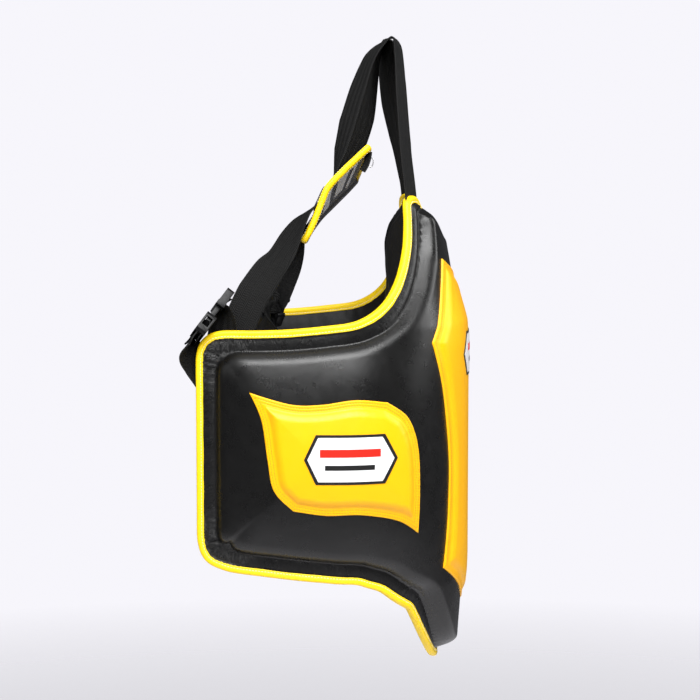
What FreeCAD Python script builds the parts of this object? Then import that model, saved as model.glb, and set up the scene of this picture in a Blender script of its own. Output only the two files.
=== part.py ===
"""Chest protector: padded leather front with a groin tongue, two flexible side wings, a webbing harness with a
back yoke, and two side-release buckles. Millimetres, +Z up, the front faces -Y, +X is the wearer's left.
The origin is the point that the harness hangs from. One STEP file is written for each piece."""

import FreeCAD, Part
import os
from math import atan2, cos, degrees, hypot, pi, radians, sin, tan

Vector = FreeCAD.Vector

# ---- driving dimensions -------------------------------------------------------------------------------------
HALF_WIDTH = 172.0          # plan half-width of the sewn edge
FRONT_REACH = 133.0         # how far the front bows forward of the side corners
CORNER_Y = 72.0             # where the bowed front turns into the straight wings
WING_LENGTH = 160.0         # from there back to the rear hem
WING_CURVE = 1000.0         # radius that the wings curl inwards on
SPLIT_ANGLE = 47.5          # plan angle of the flex line between the front and a wing
TONGUE_TIP_Z = -771.0       # the lowest point
BINDING = 5.0               # the tape covers this much past the cut edge
FLANGE = 6.0                # thickness where all layers are sewn together
LEATHER = 2.0
FRONT_RAISE = 30.0          # the front's foam stands this far out of the flange
WING_RAISE = 17.0
FRONT_BULGE = 24.0          # and this far inwards
WING_BULGE = 8.0
CHEST_BULGE = 14.0          # and this much more beside the neck and armholes
BULGE_REACH = 50.0          # the lining swells out over this distance from the hem
FLANGE_WIDTH = 19.0         # flat margin between the cut edge and the raised foam
NECK_FLANGE = 4.0           # its width at the neckline
TIP_FLANGE = 6.0            # and at the tongue's tip
SLOPE_WIDTH = 16.0          # the foam's rounded shoulder
HINGE_GAP = 0.5             # between the front and a wing at the outer face
HINGE_WEDGE = tan(radians(6.5))   # and how fast that gap opens inwards, for the inward flex
WEBBING = 40.0
WEBBING_THICK = 1.6
CLEAR = 0.5                 # between pieces that only lie on each other
PATCH_GAP = 1.3             # between the cover and a patch's curved back
TAPE_GAP = 1.0              # between a cut edge and the tape's fold
PATCH_EDGE = 0.8            # thickness of a patch's foam at its rim
PATCH_SKIN = 1.5            # thickness of a patch's leather
BADGE = 1.2                 # thickness of a badge
FLEX_X = 126.8              # plan half-width of the flex line

REAR_X = HALF_WIDTH + WING_LENGTH

# Cut edge of the right half, from the centre to the flex line: (plan half-width x, height z).
TOP_EDGE = [(0, -231), (26, -228), (43, -215), (55, -201), (66, -197.5), (83, -198), (90.5, -203), (91.5, -214),
            (96.4, -228), (105.5, -251), (115.7, -270), (FLEX_X, -290)]
# The wing's cut edges, from the flex line to the rear: (x or 172 + distance behind the corner, z).
WING_TOP = [(FLEX_X, -290), (136, -302), (145.5, -318), (157.5, -329.5), (165, -338), (172, -345), (212, -350),
            (252, -352), (300, -352.5), (309, -353), (REAR_X - 7, -360), (REAR_X, -376)]
WING_BOTTOM = [(FLEX_X, -682), (136, -675), (145.5, -667), (157.5, -653), (165, -648), (172, -642), (212, -638),
               (252, -634), (292, -630), (304, -627), (REAR_X - 8, -618), (REAR_X, -597)]


# ---- small tools --------------------------------------------------------------------------------------------
def smoothstep(value):
    t = min(1.0, max(0.0, value))
    return t * t * (3 - 2 * t)


def spline_point(knots, share):
    """Point at a share from 0 to 1 along a Catmull-Rom curve through the knots."""
    spans = len(knots) - 1
    i = min(spans - 1, int(share * spans))
    t = share * spans - i
    before = knots[max(0, i - 1)]
    after = knots[min(spans, i + 2)]

    def blend(p0, p1, p2, p3):
        return 0.5 * (2 * p1 + (p2 - p0) * t + (2 * p0 - 5 * p1 + 4 * p2 - p3) * t * t
                      + (3 * p1 - p0 - 3 * p2 + p3) * t ** 3)

    return tuple(blend(*values) for values in zip(before, knots[i], knots[i + 1], after))


def solid_of(faces):
    """One closed solid from faces that meet edge to edge."""
    shell = Part.Shell(faces)
    shell.sewShape()
    solid = Part.Solid(shell)
    if solid.Volume < 0:
        shell.reverse()
        solid = Part.Solid(shell)
    return solid


def smooth_surface(grid):
    surface = Part.BSplineSurface()
    surface.interpolate(grid)
    return surface


def rim_edges(surface):
    """The four border edges of a surface, always in the same order."""
    u0, u1, v0, v1 = surface.bounds()
    curves = (surface.uIso(u0), surface.uIso(u1), surface.vIso(v0), surface.vIso(v1))
    return [curve.toShape() for curve in curves]


def patch_solid(outer, inner):
    """Closed smooth solid between two even grids of points, each a list of columns."""
    surfaces = [smooth_surface(outer), smooth_surface(inner)]
    faces = [surface.toShape() for surface in surfaces]
    for first, second in zip(*map(rim_edges, surfaces)):
        faces.append(Part.makeRuledSurface(first, second))
    return solid_of(faces)


def curve_edge(points):
    curve = Part.BSplineCurve()
    curve.interpolate(points)
    return curve.toShape()


def layer_solid(outer, inner):
    """Closed solid between two grids of points, ruled from each smooth column to the next one."""
    sections = []
    for front, back in zip(outer, inner):
        edges = [curve_edge(front), Part.makeLine(front[-1], back[-1]), curve_edge(back[::-1]),
                 Part.makeLine(back[0], front[0])]
        sections.append(Part.Wire(edges))
    faces = Part.makeLoft(sections, False, True).Faces
    for front, back in ((outer[0], inner[0]), (outer[-1], inner[-1])):
        faces.append(Part.makeRuledSurface(curve_edge(front), curve_edge(back)))
    return solid_of(faces)


def bar_solid(corner_lines):
    """Closed solid along four corner lines, each a list of as many points. Opposite faces are split along
    matching diagonals, so that a twisted bar keeps its thickness."""
    sections = [list(corners) for corners in zip(*corner_lines)]
    quads = [sections[0], sections[-1][::-1]]
    for first, second in zip(sections, sections[1:]):
        for k in range(4):
            quad = [first[k], first[(k + 1) % 4], second[(k + 1) % 4], second[k]]
            quads.append(quad if k < 2 else quad[1:] + quad[:1])
    faces = []
    for a, b, c, d in quads:
        for corners in ([a, b, c, a], [a, c, d, a]):
            faces.append(Part.Face(Part.makePolygon(corners)))
    return solid_of(faces)


# ---- the body's plan curve and its surface ------------------------------------------------------------------
def quarter_lengths(steps=360):
    """Arc lengths along the bowed front, from the centre to the side corner."""
    lengths = [0.0]
    for i in range(steps):
        a0 = pi / 2 * i / steps
        a1 = pi / 2 * (i + 1) / steps
        step_x = HALF_WIDTH * (sin(a1) - sin(a0))
        step_y = FRONT_REACH * (cos(a1) - cos(a0))
        lengths.append(lengths[-1] + hypot(step_x, step_y))
    return lengths


LENGTHS = quarter_lengths()
CORNER_S = LENGTHS[-1]


def station(x):
    """Arc length from the front's centre to a half-width x; past 172 it is a distance behind the corner."""
    if x >= HALF_WIDTH:
        return CORNER_S + x - HALF_WIDTH
    steps = len(LENGTHS) - 1
    for i in range(steps):
        if HALF_WIDTH * sin(pi / 2 * (i + 1) / steps) >= x:
            low = HALF_WIDTH * sin(pi / 2 * i / steps)
            high = HALF_WIDTH * sin(pi / 2 * (i + 1) / steps)
            return LENGTHS[i] + (LENGTHS[i + 1] - LENGTHS[i]) * (x - low) / (high - low)
    return CORNER_S


SPLIT_S = station(HALF_WIDTH * sin(radians(SPLIT_ANGLE)))


def plan_point(s):
    """Place and outward normal of the sewn edge's plan curve at arc length s, left of the centre for s > 0."""
    side = 1 if s >= 0 else -1
    s = abs(s)
    if s <= CORNER_S:
        steps = len(LENGTHS) - 1
        i = min(steps - 1, sum(1 for length in LENGTHS if length <= s) - 1)
        angle = pi / 2 * (i + (s - LENGTHS[i]) / (LENGTHS[i + 1] - LENGTHS[i])) / steps
        x = HALF_WIDTH * sin(angle)
        y = CORNER_Y - FRONT_REACH * cos(angle)
        normal = (FRONT_REACH * sin(angle), -HALF_WIDTH * cos(angle))
        size = hypot(*normal)
        return side * x, y, side * normal[0] / size, normal[1] / size
    turn = (s - CORNER_S) / WING_CURVE
    x = HALF_WIDTH - WING_CURVE * (1 - cos(turn))
    return side * x, CORNER_Y + WING_CURVE * sin(turn), side * cos(turn), sin(turn)


def lean(z):
    """How far the chest leans back above the wings, and the tongue below them."""
    chest = 28.0 * max(0.0, z + 346) / 155
    tongue = 7.0 * max(0.0, -660 - z) / 110
    return chest + tongue


def place(s, z, out):
    """Point on the body at arc length s and height z, standing out of the flange's outer face."""
    x, y, normal_x, normal_y = plan_point(s)
    return Vector(x + normal_x * out, y + normal_y * out + lean(z), z)


EDGE_STEPS = 44                 # points along each spline of the cut edge
TONGUE_STEPS = 20


def edge_samples():
    """The whole cut edge of one side, in (s, z)."""
    shares = [i / EDGE_STEPS for i in range(EDGE_STEPS + 1)]
    front = [spline_point(TOP_EDGE, share) for share in shares]
    top = [spline_point(WING_TOP, share) for share in shares[1:]]
    bottom = [spline_point(WING_BOTTOM, 1 - share) for share in shares]
    tongue = [(FLEX_X * (1 - i / TONGUE_STEPS), tongue_z(FLEX_X * (1 - i / TONGUE_STEPS)))
              for i in range(1, TONGUE_STEPS + 1)]
    return [(station(x), z) for x, z in front + top + bottom + tongue]


def tongue_z(x):
    """Cut edge of the tongue below the flex line."""
    return TONGUE_TIP_Z + BINDING + 62.0 * (x / 112) ** 2.4 + 3.0 * (x / 112) ** 2


EDGE = edge_samples()


def edge_distance(s, z):
    """Distance to the cut edge, measured on the flattened body."""
    s = abs(s)
    best = 1e9
    for (s0, z0), (s1, z1) in zip(EDGE, EDGE[1:]):
        along = (s1 - s0, z1 - z0)
        length = max(1e-9, along[0] ** 2 + along[1] ** 2)
        t = min(1.0, max(0.0, ((s - s0) * along[0] + (z - z0) * along[1]) / length))
        best = min(best, hypot(s - s0 - t * along[0], z - z0 - t * along[1]))
    return best


def raise_at(s):
    share = smoothstep((abs(s) - 60) / 130)
    return FRONT_RAISE + (WING_RAISE - FRONT_RAISE) * share


def flange_width(s, z):
    """Width of the flat margin at the nearest hem: narrow at the neckline and round the tongue's tip."""
    neck = smoothstep((z + 330) / 60) * (1 - smoothstep((abs(s) - 52) / 38))
    tip = smoothstep((-640 - z) / 50) * (1 - smoothstep((abs(s) - 40) / 70))
    return FLANGE_WIDTH + (NECK_FLANGE - FLANGE_WIDTH) * neck + (TIP_FLANGE - FLANGE_WIDTH) * tip


def outer_height(s, z):
    """How far the outer leather stands out of the flange."""
    return raise_at(s) * smoothstep((edge_distance(s, z) - flange_width(s, z)) / SLOPE_WIDTH)


def inner_height(s, z):
    """How far inwards the lining lies: it swells out quickly behind the hem, but not at the tabs' tops."""
    share = smoothstep((abs(s) - 60) / 130)
    chest = smoothstep((z + 370) / 60) * (1 - smoothstep((abs(s) - 95) / 35))
    bulge = FRONT_BULGE + (WING_BULGE - FRONT_BULGE) * share + CHEST_BULGE * chest
    swell = 1 - (1 - min(1.0, edge_distance(s, z) / BULGE_REACH)) ** 2.5
    return -FLANGE - bulge * swell * smoothstep((-200 - z) / 25)


# ---- body layers --------------------------------------------------------------------------------------------
def front_columns(count=30):
    """Flattened columns of the front, from the right flex line to the left one."""
    columns = []
    for i in range(-count // 2, count // 2 + 1):
        share = abs(i) / (count // 2)
        side = 1 if i >= 0 else -1
        top_x, top_z = spline_point(TOP_EDGE, share)
        bottom_x = FLEX_X * share
        columns.append(((side * station(top_x), top_z), (side * station(bottom_x), tongue_z(bottom_x))))
    return columns


def wing_columns(side, count=24):
    columns = []
    for i in range(count + 1):
        top_x, top_z = spline_point(WING_TOP, i / count)
        bottom_x, bottom_z = spline_point(WING_BOTTOM, i / count)
        columns.append(((side * station(top_x), top_z), (side * station(bottom_x), bottom_z)))
    return columns


HINGE_REACH = 40.0              # how far behind the flex line the columns are moved


def hinge_shift(s, out):
    """Moves a wing's front columns back from the flex line, so that the wedge is open inwards."""
    depth = raise_at(SPLIT_S) - out
    gap = HINGE_GAP + max(0.0, depth) * HINGE_WEDGE
    near = max(0.0, 1 - (abs(s) - SPLIT_S) / HINGE_REACH)
    return s + (gap * near if s > 0 else -gap * near)


def layer_grid(columns, depth, is_wing, rows=16):
    """Grid of points at one depth: depth(s, z) is how far the layer's face stands out of the flange."""
    grid = []
    for (top_s, top_z), (bottom_s, bottom_z) in columns:
        column = []
        for j in range(rows + 1):
            share = j / rows
            s = top_s + (bottom_s - top_s) * share
            z = top_z + (bottom_z - top_z) * share
            out = depth(s, z)
            column.append(place(hinge_shift(s, out) if is_wing else s, z, out))
        grid.append(column)
    return grid


def body_layers(columns, is_wing):
    """Cover, foam and lining over a set of columns."""
    faces = [
        layer_grid(columns, outer_height, is_wing),
        layer_grid(columns, lambda s, z: outer_height(s, z) - LEATHER, is_wing),
        layer_grid(columns, lambda s, z: inner_height(s, z) + LEATHER, is_wing),
        layer_grid(columns, inner_height, is_wing),
    ]
    return [layer_solid(faces[i], faces[i + 1]) for i in range(3)]


def binding_solid(path, is_wing, outward):
    """Folded tape along a cut edge: path is in (s, z), and outward is 1 where the body lies to the path's right."""
    lines = [[], [], [], []]
    for i, (s, z) in enumerate(path):
        s0, z0 = path[max(0, i - 1)]
        s1, z1 = path[min(len(path) - 1, i + 1)]
        size = hypot(s1 - s0, z1 - z0)
        normal = (-(z1 - z0) / size * outward, (s1 - s0) / size * outward)
        corners = ((TAPE_GAP, 1), (BINDING, 1), (BINDING, -FLANGE - 1), (TAPE_GAP, -FLANGE - 1))
        for line, (offset, out) in zip(lines, corners):
            point_s = s + normal[0] * offset
            if is_wing:
                point_s = hinge_shift(point_s, out)
            else:
                point_s = max(-SPLIT_S, min(SPLIT_S, point_s))
            line.append(place(point_s, z + normal[1] * offset, out))
    return bar_solid(lines)


BINDING_STEPS = 30              # sections of the binding along each edge


def front_bindings():
    top = []
    bottom = []
    for i in range(-BINDING_STEPS, BINDING_STEPS + 1):
        share = abs(i) / BINDING_STEPS
        side = 1 if i >= 0 else -1
        x, z = spline_point(TOP_EDGE, share)
        top.append((side * station(x), z))
        x = FLEX_X * share
        bottom.append((side * station(x), tongue_z(x)))
    return binding_solid(top, False, 1), binding_solid(bottom, False, -1)


WING_STEPS = 33


def wing_binding(side):
    shares = [i / WING_STEPS for i in range(WING_STEPS + 1)]
    path = [spline_point(WING_TOP, share) for share in shares]
    path += [(REAR_X, z) for z in (-420, -470, -520, -560)]
    path += [spline_point(WING_BOTTOM, 1 - share) for share in shares]
    path = [(side * station(x), z) for x, z in path]
    return binding_solid(path, True, side)


# ---- applied patches and badges -----------------------------------------------------------------------------
def coons_grid(top, bottom, left, right, count):
    """Fills a four-sided outline: top and bottom run left to right, left and right run downwards."""
    grid = []
    for i in range(count + 1):
        u = i / count
        column = []
        for j in range(count + 1):
            v = j / count
            sides = (spline_point(top, u), spline_point(bottom, u), spline_point(left, v), spline_point(right, v))
            corners = (top[0], top[-1], bottom[0], bottom[-1])
            point = []
            for k in range(2):
                ruled = (1 - v) * sides[0][k] + v * sides[1][k] + (1 - u) * sides[2][k] + u * sides[3][k]
                flat = ((1 - u) * (1 - v) * corners[0][k] + u * (1 - v) * corners[1][k]
                        + (1 - u) * v * corners[2][k] + u * v * corners[3][k])
                point.append(ruled - flat)
            rim = min(u, 1 - u, v, 1 - v)
            column.append((point[0], point[1], rim))
        grid.append(column)
    return grid


def patch_layers(flat_grid, crown):
    """Foam dome and the leather sheet over it, both lying on the cover."""
    def layer(extra, share):
        grid = []
        for column in flat_grid:
            lifts = [PATCH_GAP + extra + share * crown * smoothstep(rim / 0.25) for _, _, rim in column]
            grid.append([place(s, z, outer_height(s, z) + lift) for (s, z, _), lift in zip(column, lifts)])
        return grid

    dome = layer(PATCH_EDGE, 1)
    return patch_solid(dome, layer(0, 0)), patch_solid(layer(PATCH_EDGE + PATCH_SKIN, 1), dome)


def front_patch_grid():
    """Shield with two horns, side points and a pointed foot, in (s, z)."""
    top = [(-71, -268), (-38, -279), (0, -287), (38, -279), (71, -268)]
    bottom = [(-102, -640), (-52, -671), (0, -699), (52, -671), (102, -640)]
    right_side = [(71, -268), (93, -310), (126, -365), (106, -430), (93, -500), (94, -575), (102, -640)]
    left_side = [(-s, z) for s, z in right_side]
    return coons_grid(top, bottom, left_side, right_side, 14)


def side_patch_grid(side):
    """Leaf with a point at its upper rear corner and one at its lower front corner, in (s, z)."""
    tip_s = CORNER_S + 98
    foot_s = SPLIT_S + 12
    top = [(foot_s + 40, -430), (CORNER_S - 20, -426), (CORNER_S + 14, -431), (CORNER_S + 50, -431), (tip_s, -418)]
    rear = [(tip_s, -418), (CORNER_S + 84, -450), (CORNER_S + 77, -497), (CORNER_S + 70, -532), (CORNER_S + 48, -556)]
    foot = [(foot_s, -589), (foot_s + 27, -571), (CORNER_S - 26, -561), (CORNER_S + 12, -561), (CORNER_S + 48, -556)]
    front = [(foot_s + 40, -430), (foot_s + 16, -450), (foot_s + 3, -485), (foot_s, -530), (foot_s, -589)]
    grid = coons_grid(top, foot, front, rear, 10)
    return [[(side * s, z, rim) for s, z, rim in column] for column in grid]


def badge_solid(centre_s, centre_z, half_width, half_height, crown):
    """Six-sided badge with long top and bottom edges, lying on a patch's crown."""
    reach = half_width * 0.72
    top = [(centre_s - reach, centre_z + half_height), (centre_s, centre_z + half_height),
           (centre_s + reach, centre_z + half_height)]
    bottom = [(s, 2 * centre_z - z) for s, z in top]
    left = [top[0], (centre_s - half_width, centre_z), bottom[0]]
    right = [top[-1], (centre_s + half_width, centre_z), bottom[-1]]
    flat = coons_grid(top, bottom, left, right, 6)
    bottom_lift = PATCH_GAP + PATCH_EDGE + PATCH_SKIN + crown + CLEAR
    low, high = ([[place(s, z, outer_height(s, z) + lift) for s, z, _ in column] for column in flat]
                 for lift in (bottom_lift, bottom_lift + BADGE))
    return patch_solid(high, low)


# ---- harness ------------------------------------------------------------------------------------------------
def ribbon_frames(route, steps=3):
    """Centres and width directions along a route of (centre, across). Between two given width directions the
    webbing turns as little as it can, and where across is None it just follows."""
    count = steps * (len(route) - 1)
    centres = [Vector(*spline_point([centre for centre, _ in route], i / count)) for i in range(count + 1)]
    tangents = [(centres[min(count, i + 1)] - centres[max(0, i - 1)]).normalize() for i in range(count + 1)]

    def squared(across, i):
        across = Vector(*across)
        return (across - tangents[i] * across.dot(tangents[i])).normalize()

    given = {i * steps: squared(across, i * steps) for i, (_, across) in enumerate(route) if across}
    stops = sorted(given)
    widths = [given[stops[0]]] * (stops[0] + 1)
    for start, end in zip(stops, stops[1:]):
        followed = [given[start]]
        for i in range(start + 1, end + 1):
            followed.append(squared(followed[-1], i))
        twist = atan2(tangents[end].dot(followed[-1].cross(given[end])), followed[-1].dot(given[end]))
        for i in range(start + 1, end + 1):
            turn = FreeCAD.Rotation(tangents[i], degrees(twist * (i - start) / (end - start)))
            widths.append(turn.multVec(followed[i - start]))
    while len(widths) <= count:
        widths.append(squared(widths[-1], len(widths)))
    return centres, tangents, widths


def ribbon_solid(route, width=WEBBING, thick=WEBBING_THICK):
    """Webbing along a route of (centre, across), where across may be None."""
    lines = [[], [], [], []]
    for centre, tangent, across in zip(*ribbon_frames(route)):
        face = tangent.cross(across)
        for line, (a, b) in zip(lines, ((1, 1), (-1, 1), (-1, -1), (1, -1))):
            line.append(centre + across * (a * width / 2) + face * (b * thick / 2))
    return bar_solid(lines)


# The yoke's side edges, top to bottom, as (y, z) of its inner face. It hangs askew: the left edge starts lower.
YOKE_HALF = 46.0
YOKE_RIGHT = [(28, -132), (45, -148), (62, -164), (79, -182), (87, -199), (93, -215), (102, -236), (111, -251)]
YOKE_LEFT = [(46, -176), (57, -188), (68, -199), (79, -210), (90, -221), (98, -231), (106, -243), (112, -254)]
YOKE_LENGTH = 145.0         # along its right edge
YOKE_ROWS = 14
YOKE_TAPE = 5.0             # width of the tape on each face
YOKE_PANEL = 1.6            # thickness of the inner panel
YOKE_FACE = 4.0             # height of the outer patch's face over the inner one


def on_yoke(x, share, offset):
    """Point at a share down the yoke and an offset outwards from its inner face."""
    across = (x / YOKE_HALF + 1) / 2

    def profile(at):
        edges = (spline_point(YOKE_RIGHT, at), spline_point(YOKE_LEFT, at))
        return [right + (left - right) * across for right, left in zip(*edges)]

    y, z = profile(share)
    y0, z0 = profile(max(0, share - 0.05))
    y1, z1 = profile(min(1, share + 0.05))
    size = hypot(y1 - y0, z1 - z0)
    return (x, y - (z1 - z0) / size * offset, z + (y1 - y0) / size * offset)


def yoke_grid(offset, margin, count=8):
    """Points over the yoke at an offset outwards from its inner face, inset by a margin all round."""
    grid = []
    for j in range(YOKE_ROWS + 1):
        share = 0.5 + (j / YOKE_ROWS - 0.5) * (1 - 2 * margin / YOKE_LENGTH)
        half = YOKE_HALF - margin
        grid.append([Vector(*on_yoke(half * (2 * i / count - 1), share, offset)) for i in range(count + 1)])
    return grid


def yoke_binding():
    """Tape round the yoke's rim: a ring a little thicker than the yoke."""
    whole = patch_solid(yoke_grid(YOKE_FACE + 1, 0), yoke_grid(-1, 0))
    hole = YOKE_TAPE - CLEAR
    return whole.cut(patch_solid(yoke_grid(2 * YOKE_FACE, hole), yoke_grid(-YOKE_FACE, hole)))


# Centre line and width direction of each shoulder strap, from its sewn end behind the tab, over the hanging
# point and down onto the yoke. The two straps hang a little differently.
SEWN = 6.6                      # height of a strap's centre over the yoke's inner face
ON_YOKE = (1, 0, -0.28)         # width direction of the straps sewn to it
SHOULDER_RIGHT = [((-71, -14.3, -211), (1, -0.37, 0)), ((-71, -13.1, -200), (1, -0.37, 0)),
                  ((-63, -12.5, -140), (1, -0.36, 0)), ((-46, -8, -78), (1, -0.34, 0)),
                  ((-32, -5, -30), (1, -0.28, 0)), ((-27, -2.5, -8), (1, -0.2, 0)), ((-26, 4, -1), (1, 0, 0)),
                  ((-26, 14, -7), (1, 0.15, 0)), ((-26, 31, -26), (1, 0.4, 0)), ((-26, 45, -62), (1, 0.5, 0.15)),
                  ((-26, 59, -104), (1, 0.4, 0.15)), ((-24, 69, -138), (1, 0.1, -0.1)),
                  (on_yoke(-22, 0.36, 8), ON_YOKE), (on_yoke(-22, 0.5, SEWN), ON_YOKE)]
SHOULDER_LEFT = [((71, -14.3, -211), (1, 0.37, 0)), ((71, -13.1, -200), (1, 0.37, 0)),
                 ((64, -9, -140), (1, 0.45, 0)), ((47, 3, -86), (1, 0.6, 0)),
                 ((30, 8.6, -34), (1, 0.6, 0)), ((23, 6.5, -10), (1, 0.3, 0)), ((21, 8, -2), (1, 0.1, 0)),
                 ((20, 14, -6), (1, -0.1, 0)), ((18, 23, -30), (1, -0.25, 0)), ((18, 30, -66), (1, -0.5, 0)),
                 ((20, 38, -98), (1, -0.9, 0)), ((22, 48, -128), (1, -0.9, -0.2)),
                 ((22, 66, -166), (1, -0.3, -0.25)), (on_yoke(22, 0.36, 8), ON_YOKE),
                 (on_yoke(22, 0.5, SEWN), ON_YOKE)]


# ---- buckles ------------------------------------------------------------------------------------------------
# A buckle's own frame: X across the webbing, Y through its thickness, Z along the webbing towards the plug's
# strap bars, with the origin at the socket's mouth.
BUCKLE_HALF = 25.0
BUCKLE_THICK = 11.0
SOCKET_LENGTH = 27.0
CAVITY_HALF = 19.3
ROOT_Z = 13.0               # where the latch arms leave the plug's base
ARM_TIP_Z = -16.0
HOOK_REACH = 21.3
PLUG_END_Z = 37.0
BAR = 3.0
TAPE_BAR_Z = -25.0
PLUG_BAR_Z = 26.0
STRAP_TURN = 3.3            # radius of the webbing's centre line round a bar


def box(x0, x1, y0, y1, z0, z1):
    return Part.makeBox(x1 - x0, y1 - y0, z1 - z0, Vector(x0, y0, z0))


def socket_shape():
    half_y = BUCKLE_THICK / 2
    shell = box(-BUCKLE_HALF, BUCKLE_HALF, -half_y, half_y, -SOCKET_LENGTH, 0)
    vertical = [e for e in shell.Edges if abs(e.tangentAt(e.FirstParameter).y) > 0.9]
    shell = shell.makeFillet(5.0, vertical)
    cavity = box(-CAVITY_HALF, CAVITY_HALF, -3.2, 3.2, -17, 1)
    windows = box(-BUCKLE_HALF - 1, BUCKLE_HALF + 1, -3.2, 3.2, -17, -6)
    slot = box(-21, 21, -half_y - 1, half_y + 1, TAPE_BAR_Z + BAR / 2, -18)
    beside_bar = [box(-21, 21, y, y + 5, -SOCKET_LENGTH - 1, -18) for y in (BAR / 2, -BAR / 2 - 5)]
    return shell.cut(cavity).cut(windows).cut(slot).cut(beside_bar[0]).cut(beside_bar[1])


def plug_shape():
    base = box(-BUCKLE_HALF, BUCKLE_HALF, -4.5, 4.5, ROOT_Z, 19)
    rails = box(-BUCKLE_HALF, BUCKLE_HALF, -4, 4, 18, PLUG_END_Z)
    opening = box(-21, 21, -5, 5, 19, 33)
    frame = base.fuse(rails.cut(opening))
    across = [e for e in frame.Edges if e.Length > 7.5 and abs(e.tangentAt(e.FirstParameter).y) > 0.9
              and abs(e.CenterOfMass.x) > 24 and e.CenterOfMass.z > 30]
    frame = frame.makeFillet(4.0, across)
    bar = box(-22, 22, -BAR / 2, BAR / 2, PLUG_BAR_Z - BAR / 2, PLUG_BAR_Z + BAR / 2)
    end_slot = box(-21, 21, 1.6, 5, 32, PLUG_END_Z + 1)
    end_slot_below = box(-21, 21, -5, -1.6, 32, PLUG_END_Z + 1)
    tongue = box(-5, 5, -2, 2, -14, ROOT_Z + 1)
    return frame.fuse(bar).cut(end_slot).cut(end_slot_below).fuse(tongue).removeSplitter()


def latch_arm_shape(side):
    """Sprung arm on one side: side is 1 or -1 across the webbing."""
    outline = [(14, ROOT_Z - CLEAR), (18.5, ROOT_Z - CLEAR), (19.0, 2), (18.4, -6.4), (HOOK_REACH, -6.4),
               (HOOK_REACH, -9), (15.5, ARM_TIP_Z), (13.5, ARM_TIP_Z), (13.5, -4)]
    points = [Vector(side * x, -2.6, z) for x, z in outline]
    return Part.Face(Part.makePolygon(points + points[:1])).extrude(Vector(0, 5.2, 0))


def buckle_frame(mouth, axis, across):
    """Placement matrix from a buckle's own frame to the part's frame."""
    along = Vector(*axis)
    along.normalize()
    across = Vector(*across)
    across = across - along * across.dot(along)
    across.normalize()
    through = along.cross(across)
    matrix = FreeCAD.Matrix(across.x, through.x, along.x, mouth[0], across.y, through.y, along.y, mouth[1],
                            across.z, through.z, along.z, mouth[2], 0, 0, 0, 1)
    return FreeCAD.Placement(matrix)


# The two buckles hang differently: the right one stands behind its wing, the left one has swung inside.
BUCKLES = {
    "right": buckle_frame((-150, 219, -334), (0.35, -0.57, 0.745), (1, 0, 0)),
    "left": buckle_frame((110, 163, -354), (-0.69, -0.31, 0.66), (-0.5, -0.38, -0.78)),
}


def in_buckle(frame, x, y, z):
    return tuple(frame.multVec(Vector(x, y, z)))


def bar_turn(frame, bar_z, towards, sense, straight):
    """Webbing folded half round a bar, over its far side along Z in the sense of towards, with a straight run of
    that length on both sides. sense is 1 or -1, for the way the webbing's width lies across the buckle."""
    across = tuple(frame.Rotation.multVec(Vector(sense, 0, 0)))
    places = [(STRAP_TURN, bar_z - towards * straight), (STRAP_TURN, bar_z - towards * straight / 2)]
    for step in range(5):
        angle = pi * step / 4
        places.append((STRAP_TURN * cos(angle), bar_z + towards * STRAP_TURN * sin(angle)))
    places += [(-y, z) for y, z in places[1::-1]]
    return [(in_buckle(frame, 0, y, z), across) for y, z in places]


LOWER_START = {"right": [(on_yoke(-22, 0.56, SEWN), ON_YOKE),
                         (on_yoke(-25, 0.75, SEWN + 0.5), (1, 0.05, -0.15)),
                         (on_yoke(-31, 0.98, SEWN + 4), (1, 0, 0)), ((-62, 145, -268), (1, 0.45, 0.2)),
                         ((-90, 160, -277), None), ((-112, 176, -281), None)],
               "left": [(on_yoke(22, 0.56, SEWN + 0.2), ON_YOKE),
                        (on_yoke(25, 0.75, SEWN + 2.3), (1, 0.05, -0.15)),
                        (on_yoke(31, 0.98, SEWN + 7.6), (1, -0.12, -0.25)), ((50, 131, -277), None),
                        ((64, 139, -300), None)]}
LOWER_TAIL = {"right": [((-134, 186, -304), None), ((-134, 181, -309), None), ((-137, 182, -319), None),
                        ((-134, 179, -338), None), ((-126, 176, -370), (0.5, 0.8, 0)), ((-122, 182, -415), None)],
              "left": [((74, 155, -324), None), ((72, 162, -326), None), ((77, 168, -333), None),
                       ((83, 172, -348), None), ((86, 171, -375), (-0.6, -0.8, 0)), ((84, 166, -425), None)]}
ANCHOR_START = {"right": [((-143, 206, -450), (0, 1, -0.2)), ((-143, 211, -430), None),
                          ((-143, 219, -408), (0, 1, -0.4)), ((-146, 234, -386), None), ((-156, 245, -371), None)],
                "left": [((144, 186, -446), (0, -0.8, 0.5)), ((143, 196, -430), (0, -0.8, 0.5)),
                         ((140, 197, -412), None), ((137, 188, -394), None)]}


def lower_strap(side):
    """Webbing from the yoke, round the plug's middle bar, and back out as the free tail."""
    turn = bar_turn(BUCKLES[side], PLUG_BAR_Z, -1, 1, 15)
    return ribbon_solid(LOWER_START[side] + turn + LOWER_TAIL[side])


def anchor_tape(side):
    """Tape sewn inside the wing, folded round the socket's bar."""
    turn = bar_turn(BUCKLES[side], TAPE_BAR_Z, 1, -1 if side == "right" else 1, 8)
    return ribbon_solid(ANCHOR_START[side] + turn)


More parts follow.
